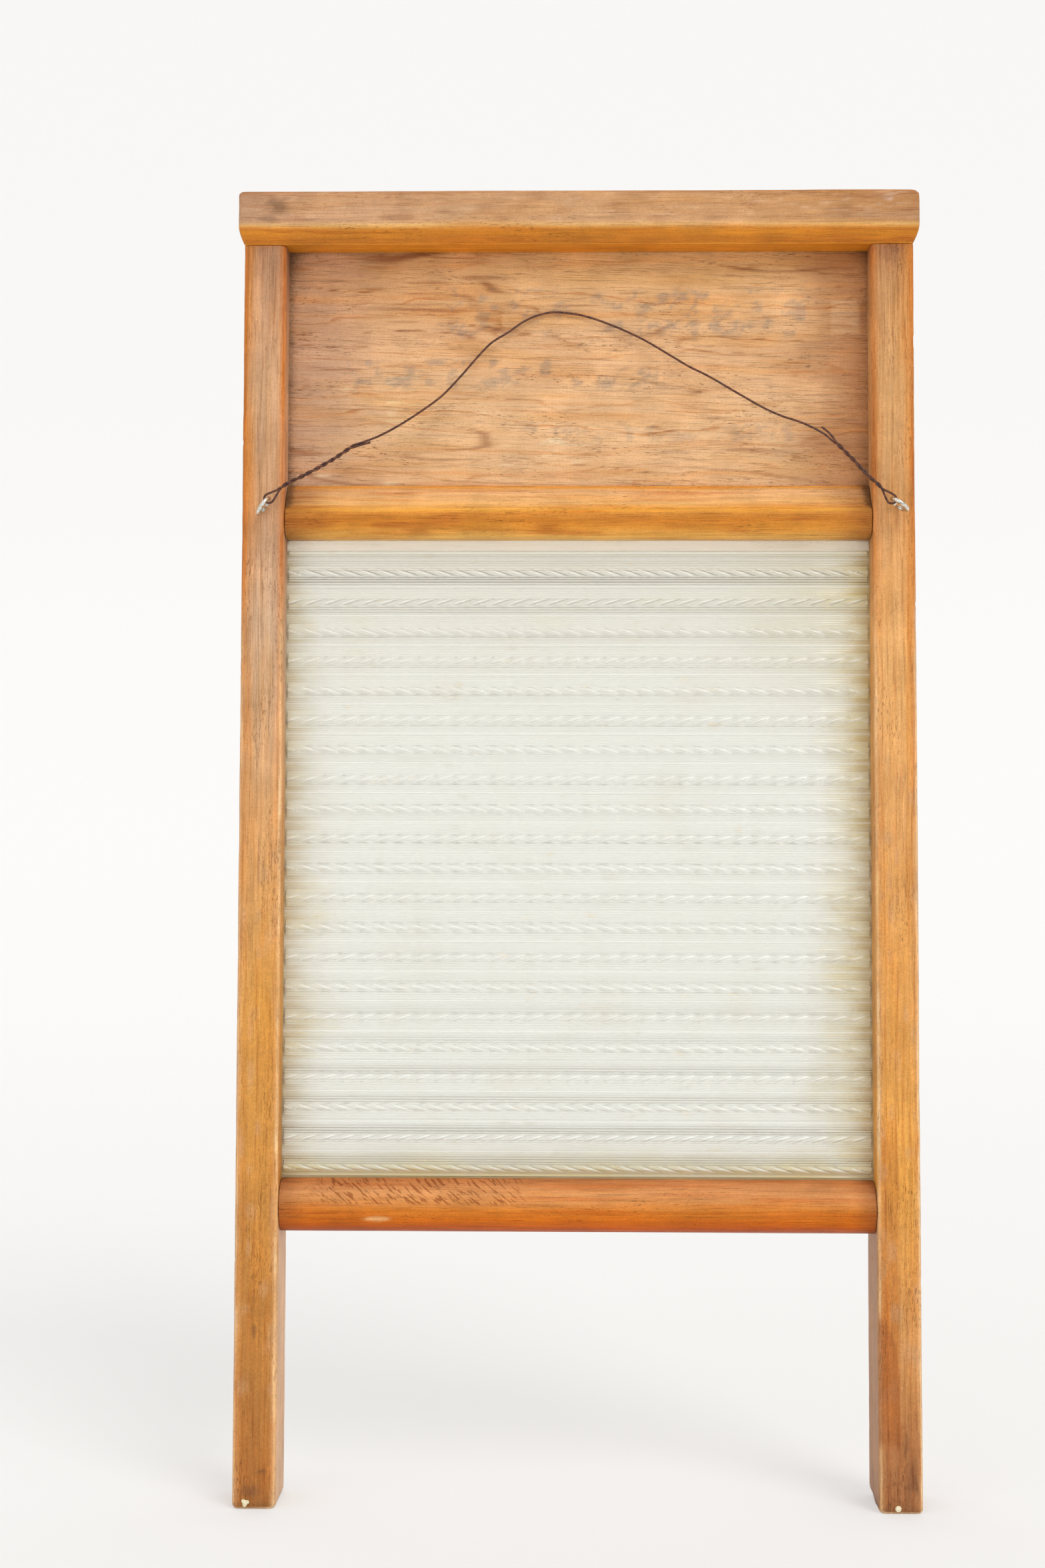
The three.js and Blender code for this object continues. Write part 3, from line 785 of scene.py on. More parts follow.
def stile_shape(side):
    """A stile's worn surface, and what its colours go by: a place and some marks at each point."""
    seed = STILES[side]["seed"]
    low, high = box_mm(f"{side}_stile")
    sign = -1 if side == "left" else 1
    middle, half = (low + high) / 2, (high - low) / 2
    height, groove_from = high[2], box_mm("bottom_rail")[0][2] + BOTTOM_RADIUS
    depth_lines = even_lines(-half[1], half[1], 1.0, groove_lines())
    foot_lines = (0.12, 0.35, 0.7, 1.2, 1.8, 2.6, 3.4, 4.4, 5.4)
    up_lines = even_lines(0, height, 1.9, (*foot_lines, groove_from - WALL, groove_from + WALL))
    points, quads = box_grid(even_lines(-half[0], half[0], 0.55), depth_lines, up_lines)
    x, y, z = points.T
    inward = -sign * x
    fixed = (np.abs(y) < GROOVE_HALF + 2 * WALL) & (z > groove_from) & (inward > half[0] - 0.01)
    fixed |= z > height - 0.01

    # worn corners, left square where the rails' ends cover them
    covered = sum(window(z, *span, 3.0) for span in RAIL_ENDS)
    along = np.stack([np.zeros_like(z) + sign, np.sign(y), z], axis=1)
    radius = 2.3 + 0.5 * noise(along, (1, 1, 17), seed) + 0.3 * noise(along, (1, 1, 5), seed + 1)
    inner_front = (inward > 0) & (y < 0)
    from_corner = half[0] - np.abs(inward) + half[1] - np.abs(y)
    radius = np.where(inner_front, (radius + 0.6) * (1 - 0.8 * np.clip(covered, 0, 1)), radius)
    inward, y = round_corners(inward, y, half[0], half[1], radius)

    # the foot: a rounded end, with its inner back edge worn further
    foot = inset(z, 1.9)
    inward, y = inward * (1 - foot / half[0]), y * (1 - foot / half[1])
    back_edge = smooth_step(y, -3, 11) * (inward / half[0] + 1) / 2
    inward = inward - inset(z, STILES[side]["back_wear"]) * back_edge

    in_groove = (np.abs(y) < GROOVE_HALF) & (z > groove_from)
    keep = 1 - GROOVE_DEPTH / (2 * half[0])
    inward = np.where(in_groove, -half[0] + (inward + half[0]) * keep, inward)
    points = np.stack([middle[0] - sign * inward, y, z], axis=1)

    # rubbed edges, dents, and the split grain low on the right leg
    front = y < -half[1] + 1.5
    split = smooth_step(z, 130, 45) * smooth_step(z, 4, 16) * front * (side == "right")
    split *= window(-inward, -2.5, 6.5, 2.5)
    worn = smooth_step(noise(points, (7, 7, 11), seed + 2), 0.0, 0.7)
    normals = normals_of(points, quads)
    edge = edge_of(normals)
    amount = 0.13 * noise(points, (24, 24, 70), seed + 3) - 0.05
    amount += edge * (-0.12 - 0.34 * worn + 0.12 * noise(points, (2.2, 2.2, 3.4), seed + 4))
    amount += 0.04 * noise(points, (1.3, 1.3, 30), seed + 5)
    waves = 2 * math.pi * (x + 0.5 * noise(points, (40, 40, 22), seed + 6)) / 1.5
    ridges = (0.5 + 0.5 * np.sin(waves)) ** 3 * (0.5 + 0.5 * noise(points, (3, 9, 24), seed + 7))
    amount -= split * 0.42 * ridges
    amount -= 0.25 * smooth_step(noise(points, (3.2, 3.2, 4.5), seed + 8), 0.72, 0.95)
    points = weather(points, quads, amount * smooth_step(z, 0, 1.2), fixed)
    facing = -normals[:, 0] * sign
    return points, quads, SimpleNamespace(
        x=x + middle[0], y=y, z=z, inward=inward, half=half[0], front=front, edge=edge, worn=worn,
        inner_front=inner_front, from_corner=from_corner,
        inner_face=np.clip(facing, 0, 1), outer_face=np.clip(-facing, 0, 1))


def stile_colours(side, points, at):
    stile, seed, z = STILES[side], STILES[side]["seed"], at.z
    upper = smooth_step(z, 250, 340)
    streaky = 0.5 + 0.5 * noise(points, (3, 3, 40), seed + 10)
    by_corner = np.maximum(0.8 * at.edge, np.exp(-((at.from_corner / 2.6) ** 2)))
    orange = by_corner * (0.5 + 0.5 * upper) * (0.5 + 0.5 * streaky)
    outer_rub = stile["outer_rub"] * (at.y < 0)
    # pale rubbed wood at the edges, with a painted highlight along the rounded corners
    rubbed = smooth_step(z, 445, 380) * np.where(at.inner_front, 1.0, outer_rub)
    by_edge = 0.6 * np.exp(-((at.from_corner / 2.0) ** 2))
    pale = np.maximum(smooth_step(at.edge, 0.15, 0.75), by_edge) * rubbed * (0.6 + 0.4 * at.worn)
    patches = smooth_step(noise(points, (3.5, 5, 9), seed + 12), 0.25, 0.75)
    greyed = patches * window(z, 55, 330, 30) * at.front
    stain = 0 * z
    for place, level, half_wide, half_high in stile["stains"]:
        away = np.hypot((at.inward - place) / half_wide, (z - level) / half_high)
        away += 0.6 * noise(points, (1.6, 2, 4), seed + 13)
        stain += smooth_step(away, 1.25, 0.1) * at.front
    tip = np.interp(z, tuple(TONGUE), tuple(TONGUE.values()))
    tip += 0.8 * noise(points, (9, 9, 9), seed + 11)
    right_front = at.front * (side == "right")
    tongue = smooth_step(at.inward, tip - 0.8, tip + 0.6) * window(z, 34, 84, 8) * right_front
    leg_inner_side = at.inner_face * (1 - at.edge) * smooth_step(z, 146, 120)
    outer_third = smooth_step(at.inward, -2, -8) * upper * at.front * (0.25 + 0.5 * streaky)
    rust = window(at.inward, 1.5, 7.5, 1.5) * window(z, 50, 165, 22) * right_front
    tint = lay_over(
        tones(stile["tones"], z + 14 * noise(points, (9, 9, 40), seed + 9)),
        ((214, 138, 46), outer_third),
        ((206, 116, 30), orange),
        ((196, 122, 54), at.outer_face * (1 - at.edge) * 0.8),
        # the legs' inner sides: bare wood, darkened with painted shade on the right leg
        (stile["leg_inside"], leg_inner_side * (0.75 + 0.25 * streaky)),
        ((252, 212, 158), pale),
        ((196, 116, 40), rust * (0.45 + 0.4 * streaky)),
        ((206, 160, 118), greyed * 0.35),
        ((168, 98, 44), tongue * 0.75),
        ((112, 72, 48), stain * 0.55),
    )
    faded = np.clip(smooth_step(z, 210, 400) * stile["faded"] - at.edge * 0.4, 0, 1)
    eye_x, eye_z, _ = EYES[side]
    by_eye = smooth_step(np.hypot(at.x - eye_x, z - eye_z), 6, 1.5) * at.front
    seam = sum(np.exp(-np.abs(z - end) / 1.6) for span in RAIL_ENDS for end in span)
    grime_and_shade = 0.62 * smooth_step(z, 9, 0) + 0.45 * by_eye + 0.5 * smooth_step(z, 574, 584)
    grime_and_shade += 0.35 * seam * (at.inward > at.half - 3.5)
    # painted shade on the right leg's inner side face
    grime_and_shade += 0.28 * (at.edge < 0.1) * leg_inner_side * (side == "right")
    return {"tint": tint, "faded": faded, "grime_and_shade": grime_and_shade, "scuff": 0 * z}


def make_stile(side):
    points, quads, at = stile_shape(side)
    make_piece(f"{side}_stile_wood", points, quads, STILE_WOOD, (f"{side}_stile",), "stile_wood",
               **stile_colours(side, points, at))


for side in STILES:
    make_stile(side)

CAP_WOOD = wood("cap_wood", "X", 4.2, (640.0, 12.0), 9.0, thin=0.5, flecks=0.61, fibres=0.62)
CAP = {"moulding": 8.0, "top_edge": 2.6, "side_in": 4.0, "end_in": 2.6}
CAP_TONES = {  # from end to end
    -159: (186, 140, 106), -120: (206, 158, 118), -60: (206, 157, 113), 0: (208, 159, 113),
    60: (206, 155, 108), 120: (198, 144, 92), 159: (184, 130, 82)}
CAP_SMUDGES = (  # along, up, half its length and height, where it ends and is full, how dark
    (-140, 17.5, 7, 4.5, 1.1, 0.1, 1.0),
    (-146, 11, 8, 2.2, 1.0, 0.2, 0.7),
    (-113, 24, 3, 2, 1.0, 0.2, 0.5),
)


def moulded(height, total, half, lower_in, edge_radius):
    """Half the cap's depth or width at a height: hollowed below, straight, and rounded on top."""
    t = np.linspace(0, 1, 24)
    rise = CAP["moulding"] * (2 * t * (1 - t) * 0.55 + t * t)
    swell = half - lower_in * ((1 - t) ** 2 + 2 * t * (1 - t) * 0.1)
    lower = np.interp(height, rise, swell)
    return lower - inset(total - height, edge_radius)


def make_cap():
    low, high = box_mm("top_rail")
    half, total = (high - low) / 2, high[2] - low[2]
    end_lines = [s * (half[0] - d) for s in (-1, 1) for d in (0.4, 0.9, 1.6, 2.4, 3.4, 5)]
    groove_end = box_mm("top_panel")[1][0] + 0.3
    x_lines = even_lines(-half[0], half[0], 1.7, (*end_lines, *groove_lines(groove_end)))
    y_lines = even_lines(-half[1], half[1], 1.0, groove_lines(GROOVE_HALF * half[1] / 15))
    top_lines = [total - d for d in (0.12, 0.4, 0.8, 1.3, 1.9)]
    z_lines = even_lines(0, total, 0.8, top_lines)
    points, quads = box_grid(x_lines, y_lines, z_lines)
    x, y, h = points.T
    deep = moulded(h, total, half[1], CAP["side_in"], CAP["top_edge"])
    y = y * deep / half[1]
    edge_radius = np.where(x > 0, 3.4, 2.4)
    wide = moulded(h, total, half[0], CAP["end_in"], edge_radius)
    reach = 12.0
    far = np.clip((np.abs(x) - (half[0] - reach)) / reach, 0, 1)
    x = np.sign(x) * (np.minimum(np.abs(x), half[0] - reach) + far * (wide - half[0] + reach))
    x, y = round_corners(x, y, wide, deep, 1.6)
    groove = (np.abs(y) < GROOVE_HALF) & (np.abs(x) < groove_end) & (h < 0.01)
    points = np.stack([x, y, low[2] + np.where(groove, GROOVE_DEPTH, h)], axis=1)
    edge = edge_of(normals_of(points, quads))
    worn = smooth_step(noise(points, (13, 6, 6), 61), 0.1, 0.8)
    amount = 0.14 * noise(points, (60, 20, 20), 62) - 0.06
    amount -= edge * smooth_step(h, 9, 20) * (0.1 + 0.5 * worn)
    amount += 0.035 * noise(points, (26, 1.4, 1.4), 63)
    amount -= 0.3 * smooth_step(noise(points, (5, 2.6, 2.6), 64), 0.74, 0.95)
    points = weather(points, quads, amount, h < 0.01)
    make_piece("cap_wood_bar", points, quads, CAP_WOOD, ("top_rail",), "top_rail_wood",
               **cap_colours(points, x, h, edge))


def cap_colours(points, x, h, edge):
    streak = 0.5 + 0.5 * noise(points, (34, 4, 2.2), 66)
    moulding = smooth_step(h, 8.6, 6.8)
    faded = smooth_step(h, 8, 11)
    # a painted highlight along the upper edge of the moulding
    highlight_line = np.exp(-((h - CAP["moulding"]) / 1.3) ** 2)
    ragged = 0.5 * noise(points, (4, 3, 2.2), 68)
    smudge = 0
    for along, up, long, high, outside, inside, dark in CAP_SMUDGES:
        away = np.hypot((x - along) / long, (h - up) / high) + ragged
        smudge += dark * smooth_step(away, outside, inside)
    scuffed = smooth_step(np.hypot((x - 149) / 9, (h - 21) / 3.4), 1.1, 0.3)
    scuffed *= smooth_step(noise(points, (5, 2, 1.2), 67), 0, 0.4)
    tint = lay_over(
        tones(CAP_TONES, x + 9 * noise(points, (40, 9, 9), 65)),
        ((208, 129, 25), moulding * 0.97),
        ((186, 106, 26), moulding * window(h, 0.6, 2.4, 1.6) * 0.4),
        ((226, 146, 40), smooth_step(h, 0.3, 0.0) * 0.9),
        ((248, 196, 116), highlight_line * (0.4 + 0.3 * streak)),
        ((214, 176, 142), smooth_step(h, 9, 11) * smooth_step(h, 20, 14) * 0.35 * streak),
        ((172, 120, 82), smooth_step(noise(points, (9, 5, 3.2), 69), 0.1, 0.8) * faded * 0.4),
        ((232, 192, 154), smooth_step(noise(points, (5, 4, 1.5), 70), 0.3, 0.8) * faded * 0.35),
        ((112, 82, 62), smudge * 0.6),
        ((226, 208, 192), scuffed * 0.5),
        ((186, 120, 66), edge * smooth_step(h, 19, 23) * 0.5),
    )
    corner = smooth_step(np.abs(x), 118, OPENING) * smooth_step(h, 7, 1) * (np.abs(x) < OPENING + 3)
    grime_and_shade = 0.12 * smooth_step(h, 2.4, 0) + 0.35 * corner + 0.12 * faded
    return {"tint": tint, "faded": faded, "grime_and_shade": grime_and_shade, "scuff": 0 * h}


make_cap()

PANEL_WOOD = wood("panel_wood", "X", 8.2, (300.0, 60.0), 34.0, late=0.95, thin=0.8, checks=0.75,
                  relief=0.4, sawn=0.018, fibres=0.42, slope=0.03)
PANEL_TONES = {  # from the middle rail up to the cap
    0: (232, 184, 136), 0.25: (236, 190, 142), 0.6: (234, 184, 136), 0.85: (232, 182, 128),
    1: (228, 175, 114)}


def make_panel():
    low, high = box_mm("top_panel")
    half = (high - low) / 2
    points, quads = box_grid(
        even_lines(low[0], high[0], 1.7), (-half[1], half[1]), even_lines(low[2], high[2], 0.85)
    )
    x, y, z = points.T
    rail_top, cap_bottom = box_mm("middle_rail")[1][2], box_mm("top_rail")[0][2]
    up = (z - rail_top) / (cap_bottom - rail_top)
    bent = z + 5 * noise(points, (70, 9, 30), 71)
    lines = noise(np.stack([x, y, bent], axis=1), (60, 30, 2.3), 72)
    raised = smooth_step(lines, 0.25, 0.75)
    torn = smooth_step(noise(points, (24, 9, 2.6), 73), 0.55, 0.85) * smooth_step(up, 0.45, 0.9)
    wavy = np.stack([x, y, z + 0.03 * x + 3.5 * noise(points, (38, 9, 16), 82)], axis=1)
    vein = smooth_step(np.abs(noise(wavy, (95, 30, 5.5), 83)), 0.085, 0.01)
    vein *= smooth_step(noise(points, (36, 9, 7), 84), -0.25, 0.4)
    amount = 0.12 * noise(points, (50, 20, 26), 74) - 0.06 - 0.12 * raised - 0.3 * torn
    amount += 0.03 * noise(points, (9, 9, 1.7), 75)
    inserted = (np.abs(x) > OPENING - 0.5) | (up > 0.985) | (up < 0.015)
    points = weather(points, quads, amount, inserted)
    make_piece("panel_wood_board", points, quads, PANEL_WOOD, ("top_panel",), "panel_wood",
               **panel_colours(points, x, y, up, raised, torn, vein))


def panel_colours(points, x, y, up, raised, torn, vein):
    left = smooth_step(x + 14 * noise(points, (30, 9, 12), 77), -78, -128)
    right = smooth_step(x + 14 * noise(points, (30, 9, 12), 78), 90, 130)
    cloud = smooth_step(noise(points, (26, 9, 15), 79), 0.15, 0.8)
    pale = noise(points, (11, 9, 1.3), 80) + 0.5 * noise(points, (34, 9, 14), 85)
    pale = smooth_step(pale, 0.5, 0.85) * smooth_step(up, 0.62, 0.35) * smooth_step(x, 30, -20)
    dusky = smooth_step(x, 20, -110) * smooth_step(up, 0.4, 0.85)
    # soft grey smudges on the front, where ink has worn away
    worn_ink = noise(points, (5, 9, 4.5), 81) + 0.6 * noise(points, (1.6, 9, 1.2), 86)
    faint = (y < 0) * smooth_step(worn_ink, 0.05, 0.6) * (
        window(up, 0.66, 0.82, 0.05) * window(x, -60, 105, 12)
        + window(up, 0.43, 0.53, 0.03) * window(x, -105, 40, 12)
        + 0.7 * window(up, 0.2, 0.26, 0.03) * window(x, -40, 100, 12))
    tint = lay_over(
        tones(PANEL_TONES, up + 0.05 * noise(points, (60, 20, 14), 76)),
        ((202, 157, 128), left * 0.75),
        ((172, 114, 70), right * 0.8),
        ((216, 158, 104), cloud * 0.4),
        ((196, 140, 98), dusky * 0.4),
        ((244, 212, 168), pale * 0.8),
        ((222, 150, 84), raised * 0.35),
        ((160, 98, 54), torn * 0.6),
        ((146, 84, 42), vein * (0.55 + 0.35 * dusky)),
        ((142, 130, 122), faint * 0.42),
        ((224, 180, 136), window(x, 121, 132, 2) * window(up, 0.66, 0.78, 0.02) * 0.5),
    )
    side_gap = OPENING - np.abs(x)
    grime_and_shade = np.where(x > 0, 0.52, 0.75) * np.exp(-np.abs(side_gap) / 5)
    # darker just under the cap: painted shade
    grime_and_shade += 0.4 * np.exp(-(1 - up) * 22)
    grime_and_shade += 0.2 * smooth_step(up, 0.12, 0) * smooth_step(side_gap, 40, 5) + 0.1
    return {"tint": tint, "faded": 0.85 + 0 * x, "grime_and_shade": grime_and_shade, "scuff": 0 * x}


make_panel()

RAIL_WOOD = wood("rail_wood", "X", 3.4, (520.0, 18.0), 7.0, late=0.45, thin=0.4, shine=0.14,
                 fibres=0.7)


def rail_piece(node, half_depth, z_lines, y_shares, grooves, relief, colours):
    """A rail between the stiles: half_depth gives its profile, and grooves say which faces have one."""
    low, high = box_mm(node)
    end_lines = [s * (high[0] - d) for s in (-1, 1) for d in (0.4, 0.9)]
    points, quads = box_grid(even_lines(low[0], high[0], 1.7, end_lines), y_shares, z_lines)
    x, share, z = points.T
    y = share * half_depth(z)
    slot = np.abs(y) < GROOVE_HALF
    on_top, below = z > high[2] - 0.01, z < low[2] + 0.01
    new_z = z.copy()
    if "top" in grooves:
        new_z = np.where(slot & on_top, z - GROOVE_DEPTH, new_z)
    if "bottom" in grooves:
        new_z = np.where(slot & below, z + GROOVE_DEPTH, new_z)
    fixed = (slot & (on_top | below)) | (np.abs(x) > high[0] - 0.01)
    points = np.stack([x, y, new_z], axis=1)
    points = weather(points, quads, relief(points), fixed)
    make_piece(f"{node}_wood", points, quads, RAIL_WOOD, (node,), "rail_wood", **colours(points))


def shares(*lines):
    """Places across a rail, as shares of its half depth, in order."""
    return np.unique(np.round(np.concatenate(lines), 4))


MIDDLE = {"flat": 8.0, "nose": 15.0, "nose_low": 7.5, "nose_high": 10.5, "slope": (13.2, 14.0),
          "lip": 5.0}  # half depths and heights above the rail's underside
MIDDLE_TONES = {  # from its underside up; the underside is painted paler, painted light against the shade under the nose
    0: (250, 194, 104), 4: (222, 147, 56), 8: (202, 127, 43), 10.5: (212, 138, 56),
    13: (238, 170, 73), 16: (236, 180, 112), 23: (232, 178, 124), 24.4: (226, 158, 76),
    25.8: (222, 142, 56)}


def middle_half_depth(z):
    low, high = box_mm("middle_rail")
    h = np.clip(z - low[2], 0, high[2] - low[2])
    under = 1 - np.clip(h / MIDDLE["nose_low"], 0, 1)
    curve = MIDDLE["flat"] + (MIDDLE["nose"] - MIDDLE["flat"]) * np.sqrt(1 - under**2)
    t = np.linspace(0, 1, 12)
    foot_depth, foot_height = MIDDLE["slope"]
    heights = (1 - t) ** 2 * MIDDLE["nose_high"] + 2 * t * (1 - t) * 12.5 + t * t * foot_height
    depths = (1 - t * t) * MIDDLE["nose"] + t * t * foot_depth
    heights, depths = np.append(heights, high[2] - low[2]), np.append(depths, MIDDLE["lip"])
    return np.where(h < MIDDLE["nose_high"], curve, np.interp(h, heights, depths))


def middle_relief(points):
    amount = 0.12 * noise(points, (50, 12, 12), 86) - 0.05
    amount += 0.04 * noise(points, (30, 1.5, 1.5), 87)
    return amount - 0.25 * smooth_step(noise(points, (6, 3, 2.4), 88), 0.75, 0.95)


def middle_colours(points):
    h = points[:, 2] - box_mm("middle_rail")[0][2] + 0.7 * noise(points, (30, 9, 3), 84)
    out = np.abs(points[:, 0])
    worn = smooth_step(noise(points, (15, 6, 3.2), 89), 0.15, 0.75) * window(h, 3, 12, 3)
    streak = smooth_step(noise(points, (44, 4, 1.6), 85), 0.2, 0.8)
    tint = lay_over(
        tones(MIDDLE_TONES, h),
        ((204, 108, 22), streak * 0.4),
        ((176, 98, 40), worn * 0.5),
        ((134, 74, 32), smooth_step(out, 112, OPENING) * 0.62),
    )
    wedge = smooth_step(out, 127, OPENING) * smooth_step(h, 11, 16)
    grime_and_shade = 0.75 * wedge + 0.35 * smooth_step(out, 132, OPENING) + 0.3 * smooth_step(h, 2.5, 0)
    grime_and_shade += 0.3 * smooth_step(h, 24.6, 25.7)
    return {"tint": tint, "faded": window(h, 12.5, 22.5, 2), "grime_and_shade": grime_and_shade, "scuff": 0 * h}


middle_low, middle_high = box_mm("middle_rail")
rail_piece(
    "middle_rail", middle_half_depth,
    middle_low[2] + even_lines(0, middle_high[2] - middle_low[2], 0.8, (0.1, 0.35)),
    shares(np.linspace(-1, 1, 25), np.array(groove_lines()) / MIDDLE["flat"],
           np.array(groove_lines()) / MIDDLE["lip"]),
    ("top", "bottom"), middle_relief, middle_colours,
)

BOTTOM_TONES = {  # from its underside up: darkest underneath, dirt and painted shade on deep orange varnish, paler on top, partly a painted sheen
    0: (158, 68, 4), 3: (196, 92, 6), 7: (212, 112, 20), 11.5: (208, 124, 43),
    15: (212, 139, 74), 19: (220, 152, 94), 24: (204, 130, 76)}
CHIP = {"x": -91.7, "z": 130.9, "half": (7.0, 1.5)}
SCRATCHED = {"x": (-112, -34), "z": (138.5, 147.5)}


def bottom_half_depth(z):
    middle = box_mm("bottom_rail")[0][2] + BOTTOM_RADIUS
    return BOTTOM_OUT + np.sqrt(np.maximum(BOTTOM_RADIUS**2 - (z - middle) ** 2, 0))


def chipped(points, inside):
    """1 in the chip on the bottom rail's front, out to inside of its reach, and 0 beyond it."""
    x, y, z = points.T
    away = np.hypot((x - CHIP["x"]) / CHIP["half"][0], (z - CHIP["z"]) / CHIP["half"][1])
    return smooth_step(away, 1.05, inside) * (y < 0)


def bottom_relief(points):
    amount = 0.13 * noise(points, (55, 12, 12), 93) - 0.05
    return amount + 0.035 * noise(points, (30, 1.5, 1.5), 94) - 0.45 * chipped(points, 0.5)


def bottom_colours(points):
    x, y, z = points.T
    h, out = z - box_mm("bottom_rail")[0][2] + 0.8 * noise(points, (36, 9, 3), 91), np.abs(x)
    streak = smooth_step(noise(points, (50, 5, 1.8), 92), 0.1, 0.8)
    tint = lay_over(
        tones(BOTTOM_TONES, h),
        ((192, 92, 28), streak * 0.4),
        ((238, 182, 122), chipped(points, 0.6) * 0.8),
        ((136, 76, 38), smooth_step(out, 122, OPENING) * 0.55),
    )
    # dark joints by the stiles, and a darkening along the underside that is dirt with painted shade
    grime_and_shade = 0.4 * smooth_step(out, 130, OPENING) + 0.25 * smooth_step(h, 3, 0)
    grime_and_shade += 0.35 * smooth_step(h, 22.5, 24.4)
    scuff = window(x, *SCRATCHED["x"], 16) * window(z, *SCRATCHED["z"], 1.5) * (y < 0)
    return {"tint": tint, "faded": 0.35 * smooth_step(h, 12, 20), "grime_and_shade": grime_and_shade, "scuff": scuff}


bottom_low, bottom_high = box_mm("bottom_rail")
top_turn = math.asin((bottom_high[2] - bottom_low[2]) / BOTTOM_RADIUS - 1)
rail_piece(
    "bottom_rail", bottom_half_depth,
    bottom_low[2] + BOTTOM_RADIUS * (1 + np.sin(np.linspace(-math.pi / 2, top_turn, 40))),
    shares(np.linspace(-1, 1, 17), (-0.97, 0.97)),
    ("top",), bottom_relief, bottom_colours,
)

# ---- the ribbed glass ----

GLASS = {"valley": 3.4, "crest": 4.4, "rope_top": 5.4, "ribbed_half": 136.0}
ROPE = {"count": 21, "pitch": 13.89, "top": 430.6, "half": 1.5, "strands": 31, "columns": 6,
        "lean": 3.0, "cut": 0.5}
FLUTE = {"pitch": 1.1, "height": 0.09, "rows": 4}
BAND = {"lowest": 148.8, "highest": 445.4, "flute_edge": 440.9}
COARSE_CELLS = 10


def glass_rows():
    """Each row of the glass, from its foot up: (height, rope number or None, offset, valley share)."""
    low, high = box_mm("glass_panel")
    rows = [(low[2], None, None, None), (BAND["lowest"] - 0.25, None, None, None)]
    below = BAND["lowest"]
    for number in range(ROPE["count"] - 1, -1, -1):
        middle = ROPE["top"] - number * ROPE["pitch"]
        rows += flute_rows(below, middle - ROPE["half"])
        rows += [(middle + offset, number, offset, None)
                 for offset in ROPE["half"] * np.sin(np.linspace(-1, 1, 9) * math.pi / 2)]
        below = middle + ROPE["half"]
    rows += flute_rows(below, BAND["flute_edge"])
    rows += [(BAND["flute_edge"] + 0.8, None, None, -1), (BAND["highest"], None, None, -1)]
    return rows + [(BAND["highest"] + 0.25, None, None, None), (high[2], None, None, None)]


def flute_rows(start, end):
    count = round((end - start) / FLUTE["pitch"]) * FLUTE["rows"]
    return [(start + (end - start) * k / count, None, None, k / count) for k in range(1, count)]


def glass_depth(x, row):
    """How far each point of a row stands from the middle of the glass, and how deep in a cut
    between strands, how near a strand's crest and how deep in a flute it is, from 0 to 1."""
    z, rope, offset, share = row
    plate = box_mm("top_panel")[1][1]
    cut, lit, flute = np.zeros((3, len(x)))
    if rope is not None:
        lean = ROPE["lean"] * (1 if rope % 2 else -1)
        phase = (x - lean * offset) * ROPE["strands"] / (2 * GLASS["ribbed_half"])
        crown = math.sqrt(max(0, 1 - (offset / ROPE["half"]) ** 2))
        cut = (1 - np.abs(np.sin(math.pi * phase)) ** 0.7) * crown**0.5
        lit = np.exp(-(((phase - 0.22) % 1 - 0.5) / 0.5) ** 2 * 9) * crown**0.5
        depth = GLASS["crest"] + (GLASS["rope_top"] - GLASS["crest"]) * crown**3 - ROPE["cut"] * cut
    elif share is None:
        depth = np.full(len(x), plate)
    elif share < 0:
        depth = np.full(len(x), GLASS["valley"])
    else:
        hollow = (GLASS["crest"] - GLASS["valley"]) * 4 * share * (1 - share)
        wave = math.cos(2 * math.pi * z / FLUTE["pitch"])
        depth = np.full(len(x), GLASS["crest"] - hollow + FLUTE["height"] * wave)
        flute = np.full(len(x), 0.5 - 0.5 * wave)
    return np.where(np.abs(x) > GLASS["ribbed_half"] + 0.1, plate, depth), cut, lit, flute


def row_columns(row):
    """A row's places across the board, and where they were before they leaned with the strands."""
    half = GLASS["ribbed_half"]
    edge = box_mm("glass_panel")[1][0]
    cells = ROPE["strands"] * ROPE["columns"] if row[1] is not None else COARSE_CELLS
    straight = np.linspace(-half, half, cells + 1)
    margin = np.array([half + 0.3, edge])
    straight = np.concatenate([-margin[::-1], straight, margin])
    if row[1] is None:
        return straight, straight
    lean = ROPE["lean"] * (1 if row[1] % 2 else -1) * row[2]
    return straight + lean * smooth_step(half - np.abs(straight), 0, 14), straight


def zip_rows(low, high, low_x, high_x):
    """Faces between two rows of points that may have different numbers of them."""
    if len(low) == len(high):
        return [(low[i], low[i + 1], high[i + 1], high[i]) for i in range(len(low) - 1)]
    faces, i, j = [], 0, 0
    while i < len(low) - 1 or j < len(high) - 1:
        if j == len(high) - 1 or (i < len(low) - 1 and low_x[i + 1] <= high_x[j + 1]):
            faces.append((low[i], low[i + 1], high[j]))
            i += 1
        else:
            faces.append((low[i], high[j + 1], high[j]))
            j += 1
    return faces


